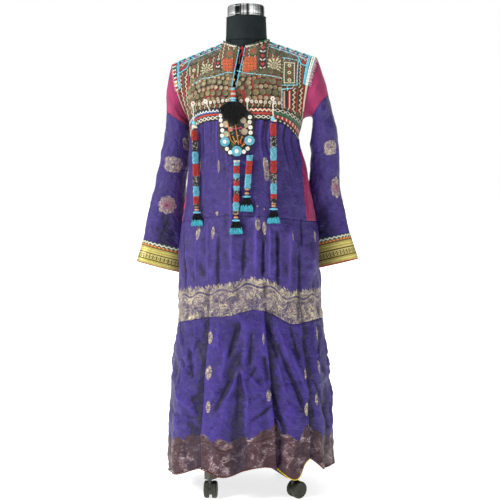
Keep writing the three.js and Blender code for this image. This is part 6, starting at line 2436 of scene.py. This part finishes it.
def dress_form_finishes():
    """Gives every part of the form and stand that shows as it is its own finish."""
    paint = hard_finish("stand_paint", tone("2e302e"), tone("141514"), 0.42, 0.0, 45.0, 0.3, 0.3)
    hood = hard_finish("caster_hood", tone("33352c"), tone("191b16"), 0.5, 0.0, 80.0, 0.4)
    wheel = hard_finish("wheel_rubber", tone("3a3b2c"), tone("1d1e17"), 0.66, 0.0, 120.0, 0.6)
    steel = chrome_finish("pole_steel")
    chosen = {"form_torso": linen_finish(), "pole": steel, "hub": paint, "neck_cap": steel}
    for corner in CORNERS:
        chosen.update({f"leg_{corner}": paint, f"caster_{corner}": hood, f"wheels_{corner}": wheel})
    for name, finish in chosen.items():
        mesh = frame["nodes"][name].data
        mesh.materials.clear()
        mesh.materials.append(finish)


def make_cap():
    """Turned metal cap on the neck, with a rolled lip and a shallow ring on top."""
    points, *faces = turned(CAP_ROWS, 96)
    add_piece("cap_shell", points, faces, chrome_finish("cap_metal"), replaced=["neck_cap"])


def make_neck_trim():
    """The cover drawn smooth over the neck, with its stitched seams and rolled top edge."""
    threads = Heap()
    rows = ((61.6, 1345), (60.2, 1362), (59.9, 1373), (59.2, 1392), (58.4, 1411), (58.0, 1412.8), (56.8, 1413.2))
    points, *faces = turned(rows, 96)
    add_piece("neck_cover", points, faces, linen_finish())
    threads.tube(ring((0, 0, 1411.6), 58.1, 58.1, np.linspace(0, 2 * math.pi, 121)), 1.3, 8, "232b2a")
    for turn in (0, 90, 180, 270):
        z = np.linspace(1374, 1410, 26)
        radius = mix(59.9, 58.4, (z - 1374) / 36)
        seam = np.stack([radius * sin(turn), -radius * cos(turn), z], axis=-1)
        threads.tube(seam, twisted(0.35, 0.12, 2.6, len(seam)), 5, "1a2120", up=(0.3, 0.9, 0))
    threads.piece("neck_stitches", SHARED["yarn"])


# Add-on: sizes and colours that a user may change, one operator for each group of pieces, and the panel


def colour_property(name, description, code):
    return FloatVectorProperty(
        name=name, description=description, subtype="COLOR", size=3, min=0, max=1, default=tone(code)
    )


class DressStudio(PropertyGroup):
    light_power: FloatProperty(
        name="Light power", description="Multiplies the power of each light", default=1.0, min=0, subtype="FACTOR"
    )
    surround: FloatProperty(
        name="Surround", description="Strength of the white surround", default=0.2, min=0, subtype="FACTOR"
    )


class DressSizes(PropertyGroup):
    skirt_columns: IntProperty(
        name="Skirt columns", description="Faces across the front of the skirt", default=300, min=60, max=600
    )
    patch_lift: FloatProperty(
        name="Patch lift",
        description="How far a patch stands off the yoke",
        default=0.0005,
        min=0.0001,
        precision=4,
        unit="LENGTH",
        subtype="DISTANCE",
    )


# Lit and deep tones of each cloth mix at random in clouds; the silk's pairs also give its painted highlights on ridges
# and crease lines and its painted shade in troughs and wrinkles
class DressColours(PropertyGroup):
    silk_light: colour_property("Silk, lit", "Purple silk where the light catches it", "40307c")
    silk_dark: colour_property("Silk, deep", "Purple silk in its folds", "190f40")
    low_light: colour_property("Lower skirt, lit", "Violet of the lower skirt", "342374")
    low_dark: colour_property("Lower skirt, deep", "Violet of the lower skirt in its folds", "130938")
    magenta_light: colour_property("Magenta, lit", "Magenta sleeve heads and gussets", "aa2762")
    magenta_dark: colour_property("Magenta, deep", "Magenta in its folds", "821f4e")


class DressOperator:
    """What the operators share: each builds one group of pieces."""

    bl_options = {"REGISTER"}

    def execute(self, context):
        self.build(context.scene.dress_sizes, context.scene.dress_colours)
        return {"FINISHED"}


class DRESS_OT_stage(Operator):
    """Makes the floor, the lights and the camera"""

    bl_idname = "dress.stage"
    bl_label = "Stage"

    def execute(self, context):
        make_stage(context.scene.dress_studio)
        SHARED.update(yarn=thread_finish(), beads=bead_finish(), sprig=motif_finish())
        return {"FINISHED"}


class DRESS_OT_form(DressOperator, Operator):
    """Finishes the dress form and its stand and makes the neck's cap and stitching"""

    bl_idname = "dress.form"
    bl_label = "Form and stand"

    def build(self, sizes, colours):
        dress_form_finishes()
        make_cap()
        make_neck_trim()


class DRESS_OT_skirt(DressOperator, Operator):
    """Makes the skirt's panels, the gussets and the hem's cord"""

    bl_idname = "dress.skirt"
    bl_label = "Skirt"

    def build(self, sizes, colours):
        make_skirt(sizes, colours)


class DRESS_OT_yoke(DressOperator, Operator):
    """Makes the yoke's cloth and the patches sewn on it"""

    bl_idname = "dress.yoke"
    bl_label = "Yoke"

    def build(self, sizes, colours):
        make_yoke(sizes)


class DRESS_OT_waistband(DressOperator, Operator):
    """Makes the woven waistband"""

    bl_idname = "dress.waistband"
    bl_label = "Waistband"

    def build(self, sizes, colours):
        make_waistband()


class DRESS_OT_trims(DressOperator, Operator):
    """Makes the coins, beads, buttons, shoulder trims, neck binding and tie"""

    bl_idname = "dress.trims"
    bl_label = "Trims"

    def build(self, sizes, colours):
        make_trims()
        make_neck()


class DRESS_OT_amulet(DressOperator, Operator):
    """Makes the amulet's pad, rosettes, buttons, stem and tuft"""

    bl_idname = "dress.amulet"
    bl_label = "Amulet"

    def build(self, sizes, colours):
        make_amulet()


class DRESS_OT_strands(DressOperator, Operator):
    """Makes the four bead strands with their tassels"""

    bl_idname = "dress.strands"
    bl_label = "Bead strands"

    def build(self, sizes, colours):
        make_strands()


class DRESS_OT_sleeves(DressOperator, Operator):
    """Makes the sleeves and cuffs with their cords"""

    bl_idname = "dress.sleeves"
    bl_label = "Sleeves and cuffs"

    def build(self, sizes, colours):
        make_sleeves(colours)
        make_cuff_cords()


OPERATORS = (
    DRESS_OT_stage,
    DRESS_OT_form,
    DRESS_OT_skirt,
    DRESS_OT_yoke,
    DRESS_OT_waistband,
    DRESS_OT_sleeves,
    DRESS_OT_trims,
    DRESS_OT_amulet,
    DRESS_OT_strands,
)


class DRESS_PT_panel(Panel):
    """Lists the steps that build the dress"""

    bl_idname = "DRESS_PT_panel"
    bl_label = "Afghan dress"
    bl_space_type = "VIEW_3D"
    bl_region_type = "UI"
    bl_category = "Dress"

    def draw(self, context):
        for group in GROUPS:
            settings = getattr(context.scene, group)
            for name in settings.bl_rna.properties.keys():
                if name not in ("rna_type", "name"):
                    self.layout.prop(settings, name)
        for operator in OPERATORS:
            self.layout.operator(operator.bl_idname)


GROUPS = {"dress_studio": DressStudio, "dress_sizes": DressSizes, "dress_colours": DressColours}


def register():
    for cls in (*GROUPS.values(), *OPERATORS, DRESS_PT_panel):
        bpy.utils.register_class(cls)
    for name, group in GROUPS.items():
        setattr(bpy.types.Scene, name, PointerProperty(type=group))


def unregister():
    for name in GROUPS:
        delattr(bpy.types.Scene, name)
    for cls in reversed((*GROUPS.values(), *OPERATORS, DRESS_PT_panel)):
        bpy.utils.unregister_class(cls)


def main():
    register()
    for operator in OPERATORS:
        getattr(bpy.ops.dress, operator.bl_idname.split(".")[1])()


if __name__ == "__main__":
    main()
